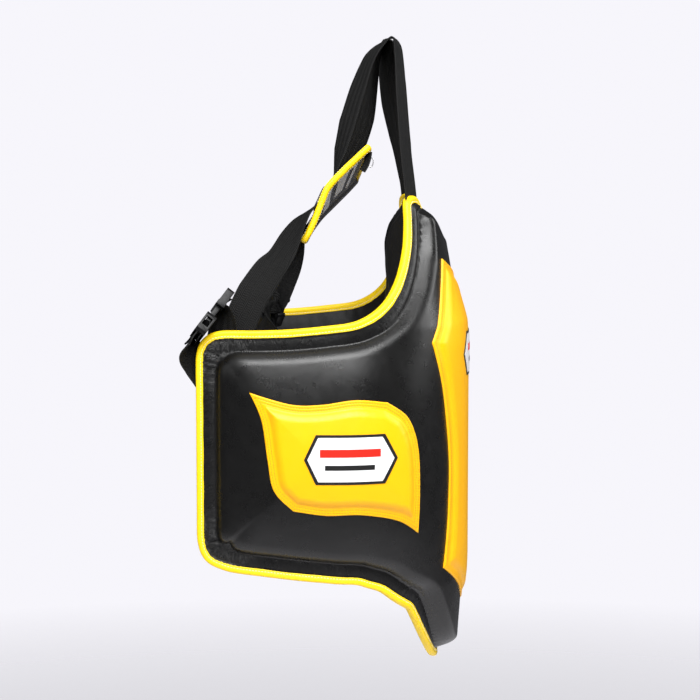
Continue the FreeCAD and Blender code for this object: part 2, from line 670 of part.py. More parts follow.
# ---- all pieces ---------------------------------------------------------------------------------------------
def all_parts():
    parts = {}
    layers = body_layers(front_columns(), False)
    parts["front_cover"], parts["front_foam"], parts["front_lining"] = layers
    parts["front_top_binding"], parts["tongue_binding"] = front_bindings()
    parts["front_patch_foam"], parts["front_patch"] = patch_layers(front_patch_grid(), 6.0)
    parts["front_badge"] = badge_solid(0, -385, 62, 27, 6.0)
    parts["shoulder_strap_right"] = ribbon_solid(SHOULDER_RIGHT)
    parts["shoulder_strap_left"] = ribbon_solid(SHOULDER_LEFT)
    parts["yoke_panel"] = patch_solid(yoke_grid(YOKE_PANEL, YOKE_TAPE), yoke_grid(0, YOKE_TAPE))
    parts["yoke_patch"] = patch_solid(yoke_grid(YOKE_FACE, YOKE_TAPE), yoke_grid(YOKE_PANEL + CLEAR, YOKE_TAPE))
    parts["yoke_binding"] = yoke_binding()
    for name, side in (("right", -1), ("left", 1)):
        layers = body_layers(wing_columns(side), True)
        parts[f"wing_cover_{name}"], parts[f"wing_foam_{name}"], parts[f"wing_lining_{name}"] = layers
        parts[f"wing_binding_{name}"] = wing_binding(side)
        patch = patch_layers(side_patch_grid(side), 4.5)
        parts[f"side_patch_foam_{name}"], parts[f"side_patch_{name}"] = patch
        parts[f"side_badge_{name}"] = badge_solid(side * (CORNER_S - 12), -494, 47, 29, 4.5)
        parts[f"lower_strap_{name}"] = lower_strap(name)
        parts[f"anchor_tape_{name}"] = anchor_tape(name)
        shapes = {"buckle_socket": socket_shape(), "buckle_plug": plug_shape(),
                  "latch_arm_upper": latch_arm_shape(1), "latch_arm_lower": latch_arm_shape(-1)}
        for node, shape in shapes.items():
            shape.Placement = BUCKLES[name].multiply(shape.Placement)
            parts[f"{node}_{name}"] = shape
    return parts


def main():
    os.makedirs("parts", exist_ok=True)
    for node, shape in sorted(all_parts().items()):
        solids = len(shape.Solids)
        print(f"{node}: valid {shape.isValid()}, {solids} solid, {shape.Volume / 1000:.1f} cm3")
        shape.exportStep(f"parts/{node}.step")


main()
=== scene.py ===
"""Looks of the chest protector: leather covers over foam, bound hems, stitched patches, webbing and buckles.
Shapes are worked out in millimetres from outlines close to the solid model's and turned into metres when a
mesh is made. +Z is up, the front faces -Y, and s is the distance round the body from the front's centre."""

from math import atan2, cos, pi, radians, sin

import bmesh
import bpy
import numpy as np
from mathutils import Matrix, Quaternion, Vector


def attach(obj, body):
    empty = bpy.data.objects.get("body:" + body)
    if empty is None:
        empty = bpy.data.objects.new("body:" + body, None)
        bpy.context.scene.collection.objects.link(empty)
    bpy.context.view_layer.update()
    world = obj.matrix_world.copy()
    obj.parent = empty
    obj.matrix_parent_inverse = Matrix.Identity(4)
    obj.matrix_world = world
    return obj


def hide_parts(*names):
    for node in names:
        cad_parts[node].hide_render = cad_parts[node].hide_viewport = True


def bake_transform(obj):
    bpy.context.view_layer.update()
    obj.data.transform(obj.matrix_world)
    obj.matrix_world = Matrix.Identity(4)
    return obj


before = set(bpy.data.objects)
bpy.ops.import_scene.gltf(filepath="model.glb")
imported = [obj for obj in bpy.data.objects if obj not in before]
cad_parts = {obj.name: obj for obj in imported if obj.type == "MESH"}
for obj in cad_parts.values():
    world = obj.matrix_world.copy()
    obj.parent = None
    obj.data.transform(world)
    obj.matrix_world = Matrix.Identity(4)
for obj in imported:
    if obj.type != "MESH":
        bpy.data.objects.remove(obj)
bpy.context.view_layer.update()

MM = 0.001
RANDOM = np.random.RandomState(7)

# ---- driving sizes in millimetres, close to the solid model's ----
HALF_WIDTH = 172.0          # half axes of the elliptic front
FRONT_REACH = 133.0
CORNER_Y = 72.0             # where the front ends and the wings begin
WING_LENGTH = 160.0
WING_CURVE = 1000.0         # radius of a wing's slight bend
SPLIT_ANGLE = 47.5          # where the body flexes, round the front's ellipse
TONGUE_TIP_Z = -771.0
TONGUE_HALF = 112.0         # half-width at which the tongue's edge has risen by TONGUE_RISE
TONGUE_RISE = 62.0
CHEST_LEAN = 28.0           # how far the chest's top leans back
TONGUE_LEAN = 7.0
BINDING = 5.0
FLANGE = 6.0                # thickness of the flat sewn margin
FRONT_RAISE = 30.0          # height of the foam over the margin
WING_RAISE = 17.0
FRONT_BULGE = 24.0          # depth of the lining behind the margin
WING_BULGE = 8.0
CHEST_BULGE = 20.0
BULGE_REACH = 50.0
FLANGE_WIDTH = 19.0         # width of the margin
NECK_FLANGE = 4.0
TIP_FLANGE = 6.0
SLOPE_WIDTH = 16.0          # width of the foam's rounded shoulder
WING_CROWN = 15.0           # how much a wing's foam still rises beyond its shoulder
CROWN_REACH = 120.0
WING_DROP = 8.0             # how much lower a wing's foam starts at its shoulder
FRONT_TRIM = 5.0            # how much the front's foam is trimmed, and more at the chest
CHEST_TRIM = 4.0
MARGIN_ROLL = 3.6           # height of the low roll in the margin at the neck and armholes
CORNER_ROUND = 30.0         # how far the foam's rear corners are rounded
HEM_STEP = 1.3
STITCH_SPACING = 3.7
WEBBING = 40.0
WEBBING_THICK = 1.6
FLEX_X = 126.8              # half-width at the flex line
REAR_X = HALF_WIDTH + WING_LENGTH

# Cut edges: (plan half-width x, or 172 + distance behind the corner, and height z).
TOP_EDGE = [(0, -231), (26, -228), (43, -215), (55, -201), (66, -197.5), (83, -198), (90.5, -203),
            (91.5, -214), (96.4, -228), (105.5, -251), (115.7, -270), (FLEX_X, -290)]
WING_TOP = [(FLEX_X, -290), (136, -302), (145.5, -315.5), (157.5, -330.5), (165, -337), (172, -345),
            (212, -350), (252, -352), (300, -352.5), (309, -353), (REAR_X - 7, -360), (REAR_X, -376)]
WING_BOTTOM = [(FLEX_X, -682), (136, -675), (145.5, -667), (157.5, -653), (165, -648), (172, -642),
               (212, -638), (252, -634), (292, -630), (304, -627), (REAR_X - 8, -618), (REAR_X, -597)]


# ---- curves and noise ----
def smoothstep(value):
    t = np.clip(value, 0.0, 1.0)
    return t * t * (3 - 2 * t)


def spline(knots, shares):
    """Points at shares from 0 to 1 along a Catmull-Rom curve through the knots."""
    knots = np.array(knots, float)
    spans = len(knots) - 1
    along = np.clip(np.asarray(shares, float) * spans, 0, spans)
    i = np.minimum(along.astype(int), spans - 1)
    t = (along - i)[:, None]
    p0 = knots[np.maximum(i - 1, 0)]
    p1 = knots[i]
    p2 = knots[i + 1]
    p3 = knots[np.minimum(i + 2, spans)]
    return 0.5 * (2 * p1 + (p2 - p0) * t + (2 * p0 - 5 * p1 + 4 * p2 - p3) * t ** 2
                  + (3 * p1 - p0 - 3 * p2 + p3) * t ** 3)


def unit(vectors):
    return vectors / np.linalg.norm(vectors, axis=1)[:, None]


def curve(knots, count=160):
    return spline(knots, np.linspace(0, 1, count + 1))


def lengths_along(points):
    steps = np.linalg.norm(np.diff(points, axis=0), axis=1)
    return np.concatenate(([0.0], np.cumsum(steps)))


def taken(points, total, at):
    """Points at the distances at along a line whose own points lie at the distances total."""
    return np.stack([np.interp(at, total, points[:, k]) for k in range(points.shape[1])], -1)


def evenly(points, count):
    """The same line with count + 1 points at even spacing."""
    points = np.asarray(points, float)
    total = lengths_along(points)
    return taken(points, total, np.linspace(0, total[-1], count + 1))


NOISE = RANDOM.rand(256, 256) * 2 - 1


def noise(u, v, row=0):
    """Smooth noise from -1 to 1 over two coordinates, one bump per unit."""
    u, v = np.broadcast_arrays(np.asarray(u, float), np.asarray(v, float))
    u0, v0 = np.floor(u).astype(int), np.floor(v).astype(int)
    fu, fv = smoothstep(u - u0), smoothstep(v - v0)
    v0 = v0 + 37 * row

    def at(a, b):
        return NOISE[(u0 + a) % 256, (v0 + b) % 256]

    low = at(0, 0) * (1 - fu) + at(1, 0) * fu
    high = at(0, 1) * (1 - fu) + at(1, 1) * fu
    return low * (1 - fv) + high * fv


# ---- the body's surface ----
ANGLES = np.linspace(0, pi / 2, 361)
ARC = lengths_along(np.stack((HALF_WIDTH * np.sin(ANGLES), FRONT_REACH * np.cos(ANGLES)), -1))
CORNER_S = ARC[-1]


def station(x):
    """Distance round the body for a half-width x, or for 172 + the distance behind the corner."""
    x = np.asarray(x, float)
    bowed = np.interp(np.minimum(x, HALF_WIDTH), HALF_WIDTH * np.sin(ANGLES), ARC)
    return np.where(x > HALF_WIDTH, CORNER_S + x - HALF_WIDTH, bowed)


SPLIT_S = float(station(HALF_WIDTH * sin(radians(SPLIT_ANGLE))))


def place(s, z, out):
    """Points on the body at distance s round it and height z, standing out of the flange's outer face."""
    s, z, out = np.broadcast_arrays(np.asarray(s, float), np.asarray(z, float), np.asarray(out, float))
    side = np.where(s >= 0, 1.0, -1.0)
    along = np.abs(s)
    angle = np.interp(along, ARC, ANGLES)
    normal_x = FRONT_REACH * np.sin(angle)
    normal_y = -HALF_WIDTH * np.cos(angle)
    size = np.hypot(normal_x, normal_y)
    turn = np.maximum(0, along - CORNER_S) / WING_CURVE
    on_wing = along > CORNER_S
    x = np.where(on_wing, HALF_WIDTH - WING_CURVE * (1 - np.cos(turn)), HALF_WIDTH * np.sin(angle))
    y = np.where(on_wing, CORNER_Y + WING_CURVE * np.sin(turn), CORNER_Y - FRONT_REACH * np.cos(angle))
    normal_x = np.where(on_wing, np.cos(turn), normal_x / size)
    normal_y = np.where(on_wing, np.sin(turn), normal_y / size)
    lean = CHEST_LEAN * np.maximum(0, z + 346) / 155 + TONGUE_LEAN * np.maximum(0, -660 - z) / 110
    return np.stack((side * (x + normal_x * out), y + normal_y * out + lean, z), -1)


def tongue_z(x):
    """Height of the tongue's cut edge."""
    return TONGUE_TIP_Z + BINDING + TONGUE_RISE * (x / TONGUE_HALF) ** 2.4 + 3.0 * (x / TONGUE_HALF) ** 2


def in_stations(points):
    return np.stack((station(points[:, 0]), points[:, 1]), -1)


TONGUE_X = np.linspace(0, FLEX_X, 161)
TOP_FRONT = in_stations(curve(TOP_EDGE))
TOP_WING = in_stations(curve(WING_TOP))
BOTTOM_FRONT = in_stations(np.stack((TONGUE_X, tongue_z(TONGUE_X)), -1))
BOTTOM_WING = in_stations(curve(WING_BOTTOM))


def rounded(line, passes, share=1.0):
    """The line with its kinks smoothed out and its ends kept. share says how much each point may move."""
    line = line.copy()
    share = np.broadcast_to(share, len(line))[1:-1, None]
    for _ in range(passes):
        line[1:-1] += share * ((line[:-2] + 2 * line[1:-1] + line[2:]) / 4 - line[1:-1])
    return line


HEM = np.vstack((TOP_FRONT, TOP_WING[1:], BOTTOM_WING[::-1], BOTTOM_FRONT[::-1][1:]))
HEM = rounded(evenly(HEM, round(lengths_along(HEM)[-1] / HEM_STEP)), 50)
AT_ARMHOLE = smoothstep((HEM[:, 0] - 110) / 20) * smoothstep((HEM[:, 1] + 400) / 30) * (HEM[:, 0] < 260)
HEM = rounded(HEM, 220, AT_ARMHOLE)
REAR_S = CORNER_S + WING_LENGTH


def nearest(line, s, z):
    """Distance to a line in (s, z), and how far along the line its nearest point is."""
    best = np.full(np.shape(s), 1e9)
    along = np.zeros(np.shape(s))
    total = lengths_along(line)
    for (s0, z0), (s1, z1), start in zip(line, line[1:], total):
        size = (s1 - s0) ** 2 + (z1 - z0) ** 2 + 1e-9
        t = np.clip(((s - s0) * (s1 - s0) + (z - z0) * (z1 - z0)) / size, 0, 1)
        distance = np.hypot(s - s0 - t * (s1 - s0), z - z0 - t * (z1 - z0))
        nearer = distance < best
        best = np.where(nearer, distance, best)
        along = np.where(nearer, start + t * size ** 0.5, along)
    return best, along


COARSE_HEM = HEM[::4]


def front_share(s):
    """1 over the front and 0 over the wings."""
    return 1 - smoothstep((np.abs(s) - 60) / 130)


def flange_width(s, z):
    """Width of the flat margin at the nearest hem: narrow at the neckline and round the tongue's tip."""
    neck = smoothstep((z + 330) / 60) * (1 - smoothstep((np.abs(s) - 52) / 38))
    tip = smoothstep((-640 - z) / 50) * (1 - smoothstep((np.abs(s) - 40) / 70))
    return FLANGE_WIDTH + (NECK_FLANGE - FLANGE_WIDTH) * neck + (TIP_FLANGE - FLANGE_WIDTH) * tip


def softer_corners(s, z, edge):
    """Distance to the hem, cut down near a wing's rear corners so that the foam's outline is round there."""
    rear = REAR_S - np.abs(s)
    level = np.minimum(-352 - z, z + 634)
    near = np.maximum(CORNER_ROUND - np.abs(rear - level), 0) / CORNER_ROUND
    at_corner = smoothstep((np.abs(s) - REAR_S + 90) / 40)
    return edge - at_corner * near * near * CORNER_ROUND * 0.3


def foam_edge(s, z, edge):
    """Distance inwards from the foot of the raised foam."""
    return softer_corners(s, z, edge) - flange_width(s, z)


def margin_roll(s, z, edge):
    """The sewn margin is padded into a low roll along the neck and armholes."""
    share = smoothstep((z + 430) / 70) * front_share(np.abs(s) - 20)
    across = np.clip((edge - 4) / (flange_width(s, z) - 3), 0, 1)
    return (0.6 + MARGIN_ROLL * share) * np.sin(pi * across) ** 0.8


def outer_height(s, z, edge):
    """Height of the raised foam: a rounded shoulder beyond the margin, and a low crown over it."""
    share = front_share(s)
    inside = foam_edge(s, z, edge)
    top = WING_RAISE + (FRONT_RAISE - WING_RAISE) * share
    t = np.clip(inside / SLOPE_WIDTH, 0, 1)
    shoulder = 0.25 * smoothstep(t) + 0.75 * (1 - (1 - t) ** 3) * smoothstep(t * (6 + 5 * share))
    crown = WING_CROWN * (1 - share) * (1 - (1 - np.clip(inside / CROWN_REACH, 0, 1)) ** 2.4)
    trim = share * (FRONT_TRIM + CHEST_TRIM * smoothstep((z + 380) / 80))
    roll = margin_roll(s, z, edge) * (1 - smoothstep(inside / 3))
    return (top - WING_DROP * (1 - share) - trim) * shoulder + crown + roll


def inner_height(s, z, edge):
    """The lining swells out quickly behind the tape, and less at the tabs' tops."""
    share = front_share(s)
    chest = smoothstep((z + 390) / 60) * (1 - smoothstep((np.abs(s) - 118) / 40))
    bulge = WING_BULGE + (FRONT_BULGE - WING_BULGE) * share + CHEST_BULGE * chest
    swell = 1 - (1 - np.clip((edge - 4) / BULGE_REACH, 0, 1)) ** 2.5
    top = np.clip((-198 - z) / 72, 0, 1)
    return -FLANGE - bulge * swell * np.sqrt(1 - (1 - top) ** 2)


# ---- meshes ----
def new_mesh(name, points, faces, material, smooth=True, attributes=None):
    """Object from points in millimetres. attributes maps a name to one vector per point."""
    mesh = bpy.data.meshes.new(name)
    points = np.asarray(points, float).reshape(-1, 3) * MM
    mesh.from_pydata(points.tolist(), [], [tuple(int(i) for i in face) for face in faces])
    for attribute_name, values in (attributes or {}).items():
        attribute = mesh.attributes.new(attribute_name, "FLOAT_VECTOR", "POINT")
        attribute.data.foreach_set("vector", np.asarray(values, np.float32).ravel())
    mesh.polygons.foreach_set("use_smooth", [smooth] * len(mesh.polygons))
    mesh.materials.append(material)
    mesh.update()
    piece = bpy.data.objects.new(name, mesh)
    bpy.context.scene.collection.objects.link(piece)
    return piece


def settle(piece, nodes=(), body=None):
    """Hides the nodes that a piece stands for, and hangs the piece on the body that it rides on."""
    if nodes:
        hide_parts(*nodes)
    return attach(piece, body) if body else piece


def grid_faces(columns, rows, flip=False, start=0):
    """Quads over a grid stored column by column."""
    faces = []
    for i in range(columns - 1):
        a = start + i * rows
        b = a + rows
        for j in range(rows - 1):
            quad = (a + j, a + j + 1, b + j + 1, b + j)
            faces.append(quad[::-1] if flip else quad)
    return faces


def tube_faces(rings, sides, closed_path=False, caps=True, flip=False):
    """Quads round a tube stored ring by ring, with end faces."""
    faces = []
    for i in range(rings if closed_path else rings - 1):
        a = i * sides
        b = ((i + 1) % rings) * sides
        for j in range(sides):
            k = (j + 1) % sides
            faces.append((a + j, a + k, b + k, b + j))
    if caps and not closed_path:
        faces.append(tuple(range(sides))[::-1])
        faces.append(tuple(range((rings - 1) * sides, rings * sides)))
    return [face[::-1] for face in faces] if flip else faces


def close_grid(top, bottom, flip=False):
    """Points and faces of a closed piece between two grids of the same size, each (columns, rows, 3)."""
    columns, rows = top.shape[:2]
    count = columns * rows
    points = np.vstack((top.reshape(-1, 3), bottom.reshape(-1, 3)))
    faces = grid_faces(columns, rows) + grid_faces(columns, rows, flip=True, start=count)
    rim = list(range(rows))
    rim += [i * rows + rows - 1 for i in range(1, columns)]
    rim += [(columns - 1) * rows + j for j in range(rows - 2, -1, -1)]
    rim += [i * rows for i in range(columns - 2, 0, -1)]
    for a, b in zip(rim, rim[1:] + rim[:1]):
        faces.append((b, a, a + count, b + count))
    return points, [face[::-1] for face in faces] if flip else faces


# ---- materials ----
class Nodes:
    """Short way to write a material's node tree."""

    def __init__(self, name):
        self.material = bpy.data.materials.new(name)
        self.material.use_nodes = True
        self.tree = self.material.node_tree
        self.shader = self.tree.nodes["Principled BSDF"]

    def add(self, kind, inputs=None, **settings):
        node = self.tree.nodes.new("ShaderNode" + kind)
        for key, value in settings.items():
            setattr(node, key, value)
        for key, value in (inputs or {}).items():
            if isinstance(value, bpy.types.NodeSocket):
                self.tree.links.new(value, node.inputs[key])
            else:
                node.inputs[key].default_value = value
        return node

    def maths(self, operation, a, b=0.0):
        return self.add("Math", {0: a, 1: b}, operation=operation).outputs[0]

    def scaled(self, vector, scale):
        return self.add("VectorMath", {0: vector, 1: scale}, operation="MULTIPLY").outputs[0]

    def noise(self, vector, scale, detail=3.0, roughness=0.5, distortion=0.0):
        inputs = {"Vector": vector, "Scale": scale, "Detail": detail, "Roughness": roughness,
                  "Distortion": distortion}
        return self.add("TexNoise", inputs).outputs["Fac"]

    def ramp(self, value, stops):
        node = self.add("ValToRGB", {"Fac": value})
        ramp = node.color_ramp
        while len(ramp.elements) < len(stops):
            ramp.elements.new(0.5)
        for element, (position, colour) in zip(ramp.elements, stops):
            element.position = position
            element.color = (*colour, 1) if len(colour) == 3 else colour
        return node.outputs["Color"]

    def mix(self, share, a, b):
        node = self.add("Mix", data_type="RGBA")
        for key, value in ((0, share), (6, a), (7, b)):
            if isinstance(value, bpy.types.NodeSocket):
                self.tree.links.new(value, node.inputs[key])
            elif key == 0:
                node.inputs[key].default_value = value
            else:
                node.inputs[key].default_value = (*value, 1)
        return node.outputs[2]

    def bump(self, height, distance, strength=1.0, normal=None):
        inputs = {"Height": height, "Distance": distance, "Strength": strength}
        if normal is not None:
            inputs["Normal"] = normal
        return self.add("Bump", inputs).outputs["Normal"]

    def set(self, **values):
        for key, value in values.items():
            socket = self.shader.inputs[key.replace("_", " ")]
            if isinstance(value, bpy.types.NodeSocket):
                self.tree.links.new(value, socket)
            elif hasattr(value, "__len__"):
                socket.default_value = (*value, 1)
            else:
                socket.default_value = value

    def specular(self, level):
        self.shader.inputs["Specular IOR Level"].default_value = level

    def remap(self, value, low, high, to_low, to_high):
        inputs = {"Value": value, "From Min": low, "From Max": high, "To Min": to_low, "To Max": to_high}
        return self.add("MapRange", inputs).outputs[0]

    def position(self):
        return self.add("TexCoord").outputs["Object"]

    def attribute(self, name):
        return self.add("Attribute", attribute_name=name).outputs["Vector"]


def leather_grain(n, place_at, pebble, depth):
    """Bump of pebbled leather: rounded cells broken by fine creases."""
    warp = n.noise(place_at, 260.0, 2.0)
    three = n.add("CombineXYZ", {0: warp, 1: warp, 2: warp}).outputs[0]
    push = n.scaled(three, (0.0012, 0.0012, 0.0012))
    moved = n.add("VectorMath", {0: place_at, 1: push}, operation="ADD").outputs[0]
    cells = n.add("TexVoronoi", {"Vector": moved, "Scale": 1.0 / pebble}, feature="DISTANCE_TO_EDGE")
    cell_height = n.ramp(cells.outputs["Distance"], [(0.0, (0, 0, 0)), (0.35, (1, 1, 1))])
    fine = n.noise(place_at, 2200.0, 4.0, 0.6)
    height = n.maths("ADD", n.maths("MULTIPLY", cell_height, 0.7), n.maths("MULTIPLY", fine, 0.5))
    return n.bump(height, depth)


def black_leather():
    """Semi-gloss leather, with fine pleats along the flat margin that fade out on the foam."""
    n = Nodes("black_leather")
    at = n.position()
    grain = leather_grain(n, at, 0.0011, 0.00006)
    hem = n.attribute("hem")
    parts = n.add("SeparateXYZ", {0: hem})
    along, edge, strength = parts.outputs[0], parts.outputs[1], parts.outputs[2]
    slanted = n.maths("ADD", along, n.maths("MULTIPLY", edge, 0.35))
    pleat_at = n.add("CombineXYZ", {0: n.maths("MULTIPLY", slanted, 0.42), 1: n.maths("MULTIPLY", edge, 0.05),
                                    2: 0.0}).outputs[0]
    pleats = n.noise(pleat_at, 1.0, 3.0, 0.62, 0.9)
    fine_at = n.add("CombineXYZ", {0: n.maths("MULTIPLY", slanted, 1.3), 1: n.maths("MULTIPLY", edge, 0.16),
                                   2: 3.0}).outputs[0]
    fine = n.noise(fine_at, 1.0, 2.0, 0.6, 0.6)
    height = n.maths("ADD", pleats, n.maths("MULTIPLY", fine, 0.45))
    height = n.maths("MULTIPLY", height, strength)
    normal = n.bump(height, 0.0016, 1.0, grain)
    soft = n.noise(at, 9.0, 3.0, 0.5)
    folds = n.noise(n.scaled(at, (1.0, 1.0, 1.6)), 30.0, 2.0, 0.45)
    normal = n.bump(folds, 0.001, 0.3, normal)
    colour = n.mix(soft, (0.003, 0.003, 0.003), (0.0055, 0.0054, 0.0053))
    rough = n.remap(n.noise(at, 55.0, 3.0), 0.3, 0.7, 0.25, 0.33)
    n.set(Base_Color=colour, Roughness=rough, Normal=normal)
    n.specular(0.42)
    return n.material


def yellow_leather():
    """Bright semi-gloss leather, a little darker and more orange in soft random patches."""
    n = Nodes("yellow_leather")
    at = n.position()
    normal = leather_grain(n, at, 0.0009, 0.00004)
    patchy = n.noise(at, 24.0, 3.0)
    tone = n.mix(n.maths("MULTIPLY", patchy, 0.35), (1.0, 0.50, 0.003), (0.93, 0.37, 0.002))
    rough = n.remap(n.noise(at, 130.0, 3.0), 0.3, 0.7, 0.34, 0.44)
    n.set(Base_Color=tone, Roughness=rough, Normal=normal)
    n.specular(0.3)
    return n.material


def binding_leather():
    """Folded tape: fine puckers across it, and painted shade that turns it darker and more orange with the
    puckers.
    """
    n = Nodes("yellow_binding")
    at = n.position()
    tape = n.attribute("tape")
    parts = n.add("SeparateXYZ", {0: tape})
    pucker_at = n.add("CombineXYZ", {0: n.maths("MULTIPLY", parts.outputs[0], 0.75),
                                     1: n.maths("MULTIPLY", parts.outputs[1], 0.1), 2: 0.0}).outputs[0]
    puckers = n.noise(pucker_at, 1.0, 3.0, 0.6, 0.5)
    normal = n.bump(puckers, 0.0007, 0.8, leather_grain(n, at, 0.0008, 0.00003))
    # painted shade: the colour follows the pucker relief, darker and more orange where the pucker noise is
    # high
    tone = n.mix(n.maths("MULTIPLY", puckers, 0.5), (1.0, 0.72, 0.0), (0.96, 0.52, 0.0))
    n.set(Base_Color=tone, Roughness=0.42, Normal=normal)
    return n.material


def black_lining():
    """Smooth coated cloth with a fine plain weave and soft creases."""
    n = Nodes("black_lining")
    at = n.position()
    weave_a = n.add("TexWave", {"Vector": at, "Scale": 620.0}, bands_direction="Z").outputs["Fac"]
    weave_b = n.add("TexWave", {"Vector": at, "Scale": 620.0}, bands_direction="DIAGONAL").outputs["Fac"]
    weave = n.maths("MULTIPLY", weave_a, weave_b)
    creases = n.noise(n.scaled(at, (1.0, 1.0, 0.45)), 30.0, 4.0, 0.6, 1.0)
    normal = n.bump(creases, 0.0012, 0.6, n.bump(weave, 0.00004))
    tone = n.mix(n.noise(at, 14.0, 2.0), (0.004, 0.004, 0.0042), (0.007, 0.007, 0.0073))
    n.set(Base_Color=tone, Roughness=0.45, Normal=normal)
    n.specular(0.2)
    return n.material


def webbing(name, tone):
    """Herringbone weave: ribs that slant one way and then the other across the width."""
    n = Nodes(name)
    weave = n.attribute("weave")
    parts = n.add("SeparateXYZ", {0: weave})
    across, along = parts.outputs[0], parts.outputs[1]
    zigzag = n.maths("PINGPONG", across, 5.0)
    slanted = n.maths("ADD", along, n.maths("MULTIPLY", zigzag, 0.9))
    ribs = n.maths("SINE", n.maths("MULTIPLY", slanted, 2 * pi / 2.5))
    yarns = n.maths("SINE", n.maths("MULTIPLY", across, 2 * pi / 2.0))
    height = n.maths("ADD", n.maths("MULTIPLY", ribs, 0.6), n.maths("MULTIPLY", yarns, 0.3))
    fuzz = n.noise(n.position(), 1600.0, 2.0)
    height = n.maths("ADD", height, n.maths("MULTIPLY", fuzz, 0.35))
    normal = n.bump(height, 0.0007)
    # painted highlight and shade: the ribs are coloured lighter on their crests and darker in their hollows
    painted_rib_light = n.remap(height, -0.8, 1.2, 0.0, 1.0)
    colour = n.mix(painted_rib_light, tuple(0.1 * c for c in tone), tuple(2.4 * c for c in tone))
    n.set(Base_Color=colour, Roughness=0.62, Normal=normal)
    n.specular(0.14)
    return n.material


def moulded_plastic():
    n = Nodes("black_plastic")
    at = n.position()
    fine = n.noise(at, 1500.0, 3.0, 0.6)
    scuffs = n.noise(n.scaled(at, (1.0, 1.0, 0.3)), 420.0, 4.0, 0.7)
    rough = n.remap(scuffs, 0.3, 0.75, 0.34, 0.42)
    n.set(Base_Color=(0.004, 0.004, 0.0045), Roughness=rough, Normal=n.bump(fine, 0.000003))
    n.specular(0.2)
    return n.material


def thread(name, tone):
    n = Nodes(name)
    wave = {"Vector": n.position(), "Scale": 900.0}
    twist = n.add("TexWave", wave, bands_direction="DIAGONAL").outputs["Fac"]
    # painted shade: the thread is darker in the hollows of its twist and full colour on the crests
    colour = n.mix(twist, tuple(0.8 * c for c in tone), tone)
    n.set(Base_Color=colour, Roughness=0.6, Normal=n.bump(twist, 0.0001))
    return n.material


def grey_vinyl():
    """Glossy dark vinyl printed with plain pale bands."""
    n = Nodes("grey_vinyl")
    at = n.position()
    ripple = n.noise(at, 45.0, 3.0, 0.5, 0.6)
    normal = n.bump(ripple, 0.0012, 0.7, n.bump(n.noise(at, 1400.0, 2.0), 0.00003))
    colour = n.mix(n.noise(at, 30.0), (0.045, 0.045, 0.05), (0.075, 0.075, 0.082))
    n.set(Base_Color=colour, Roughness=0.24, Normal=normal)
    return n.material


def print_ink(name, tone):
    n = Nodes(name)
    at = n.position()
    speckle = n.noise(at, 900.0, 3.0)
    colour = n.mix(n.maths("MULTIPLY", speckle, 0.2), tone, tuple(0.8 * c for c in tone))
    n.set(Base_Color=colour, Roughness=0.35, Normal=n.bump(speckle, 0.00003))
    return n.material


LEATHER = black_leather()
YELLOW = yellow_leather()
TAPE = binding_leather()
LINING = black_lining()
WEB = webbing("black_webbing", (0.009, 0.009, 0.009))
PLASTIC = moulded_plastic()
CREAM = thread("cream_thread", (0.98, 0.95, 0.72))
GOLD = thread("gold_thread", (0.62, 0.24, 0.01))
VINYL = grey_vinyl()
WHITE = print_ink("badge_white", (0.86, 0.86, 0.87))
BLACK = print_ink("badge_black", (0.012, 0.012, 0.012))
RED = print_ink("badge_red", (0.80, 0.02, 0.01))
PALE = print_ink("pale_print", (0.60, 0.59, 0.585))


def bright_wire():
    n = Nodes("bright_wire")
    scuffs = n.noise(n.position(), 700.0, 3.0)
    n.set(Base_Color=(0.62, 0.62, 0.64), Metallic=1.0, Roughness=n.maths("MULTIPLY", scuffs, 0.5))
    return n.material


STEEL = bright_wire()


# ---- pieces baked in place on either side of the flex line ----
def flex(piece, side):
    """Bakes a piece in place; the flex line's ends are worked out but unused, so it does not bend. side is -1
    for the wearer's right.
    """
    start = place(side * (SPLIT_S - 9), -480.0, 0.0) * MM
    end = place(side * (SPLIT_S + 11), -480.0, 0.0) * MM
    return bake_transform(piece)


SIDES = {-1: "wing_right", 1: "wing_left"}
NAMES = {-1: "right", 1: "left"}


# ---- body shells ----
def body_grid(front_columns, wing_columns, rows):
    """Even columns over one half, from the centre to the rear, with rows closer together near the hems."""
    tops = np.vstack((evenly(TOP_FRONT, front_columns), evenly(TOP_WING, wing_columns)[1:]))
    bottoms = np.vstack((evenly(BOTTOM_FRONT, front_columns), evenly(BOTTOM_WING, wing_columns)[1:]))
    u = np.linspace(0, 1, rows + 1)
    share = (u - 0.42 * np.sin(2 * pi * u) / (2 * pi))[None, :, None]
    grid = tops[:, None] + (bottoms - tops)[:, None] * share
    return grid[..., 0], grid[..., 1]


CORNERS = [(CORNER_S + WING_LENGTH - 16, -372.0), (CORNER_S + WING_LENGTH - 18, -605.0)]


def corner_share(s, z, reach=46.0):
    """1 at the rounded rear corners of a wing, falling to 0 away from them."""
    share = np.zeros(np.shape(s))
    for corner_s, corner_z in CORNERS:
        away = np.hypot(s - corner_s, z - corner_z)
        share = np.maximum(share, 1 - smoothstep((away - 14) / reach))
    return share


def margin_pleats(s, z, edge, along):
    """Gathers of the leather over the flat margin, deepest round the rear corners."""
    across = (edge - 4) / (flange_width(s, z) - 3)
    window = smoothstep(across / 0.3) * (1 - smoothstep((across - 0.8) / 0.45))
    depth = 0.14 + 1.5 * corner_share(s, z) - 0.08 * front_share(s) * smoothstep((z + 400) / 60)
    warped = along + 2.2 * noise(along / 9, edge / 8, 1)
    pleats = noise(warped / 3.1, edge / 30, 2) + 0.5 * noise(warped / 1.7, edge / 22, 3)
    return window * depth * pleats


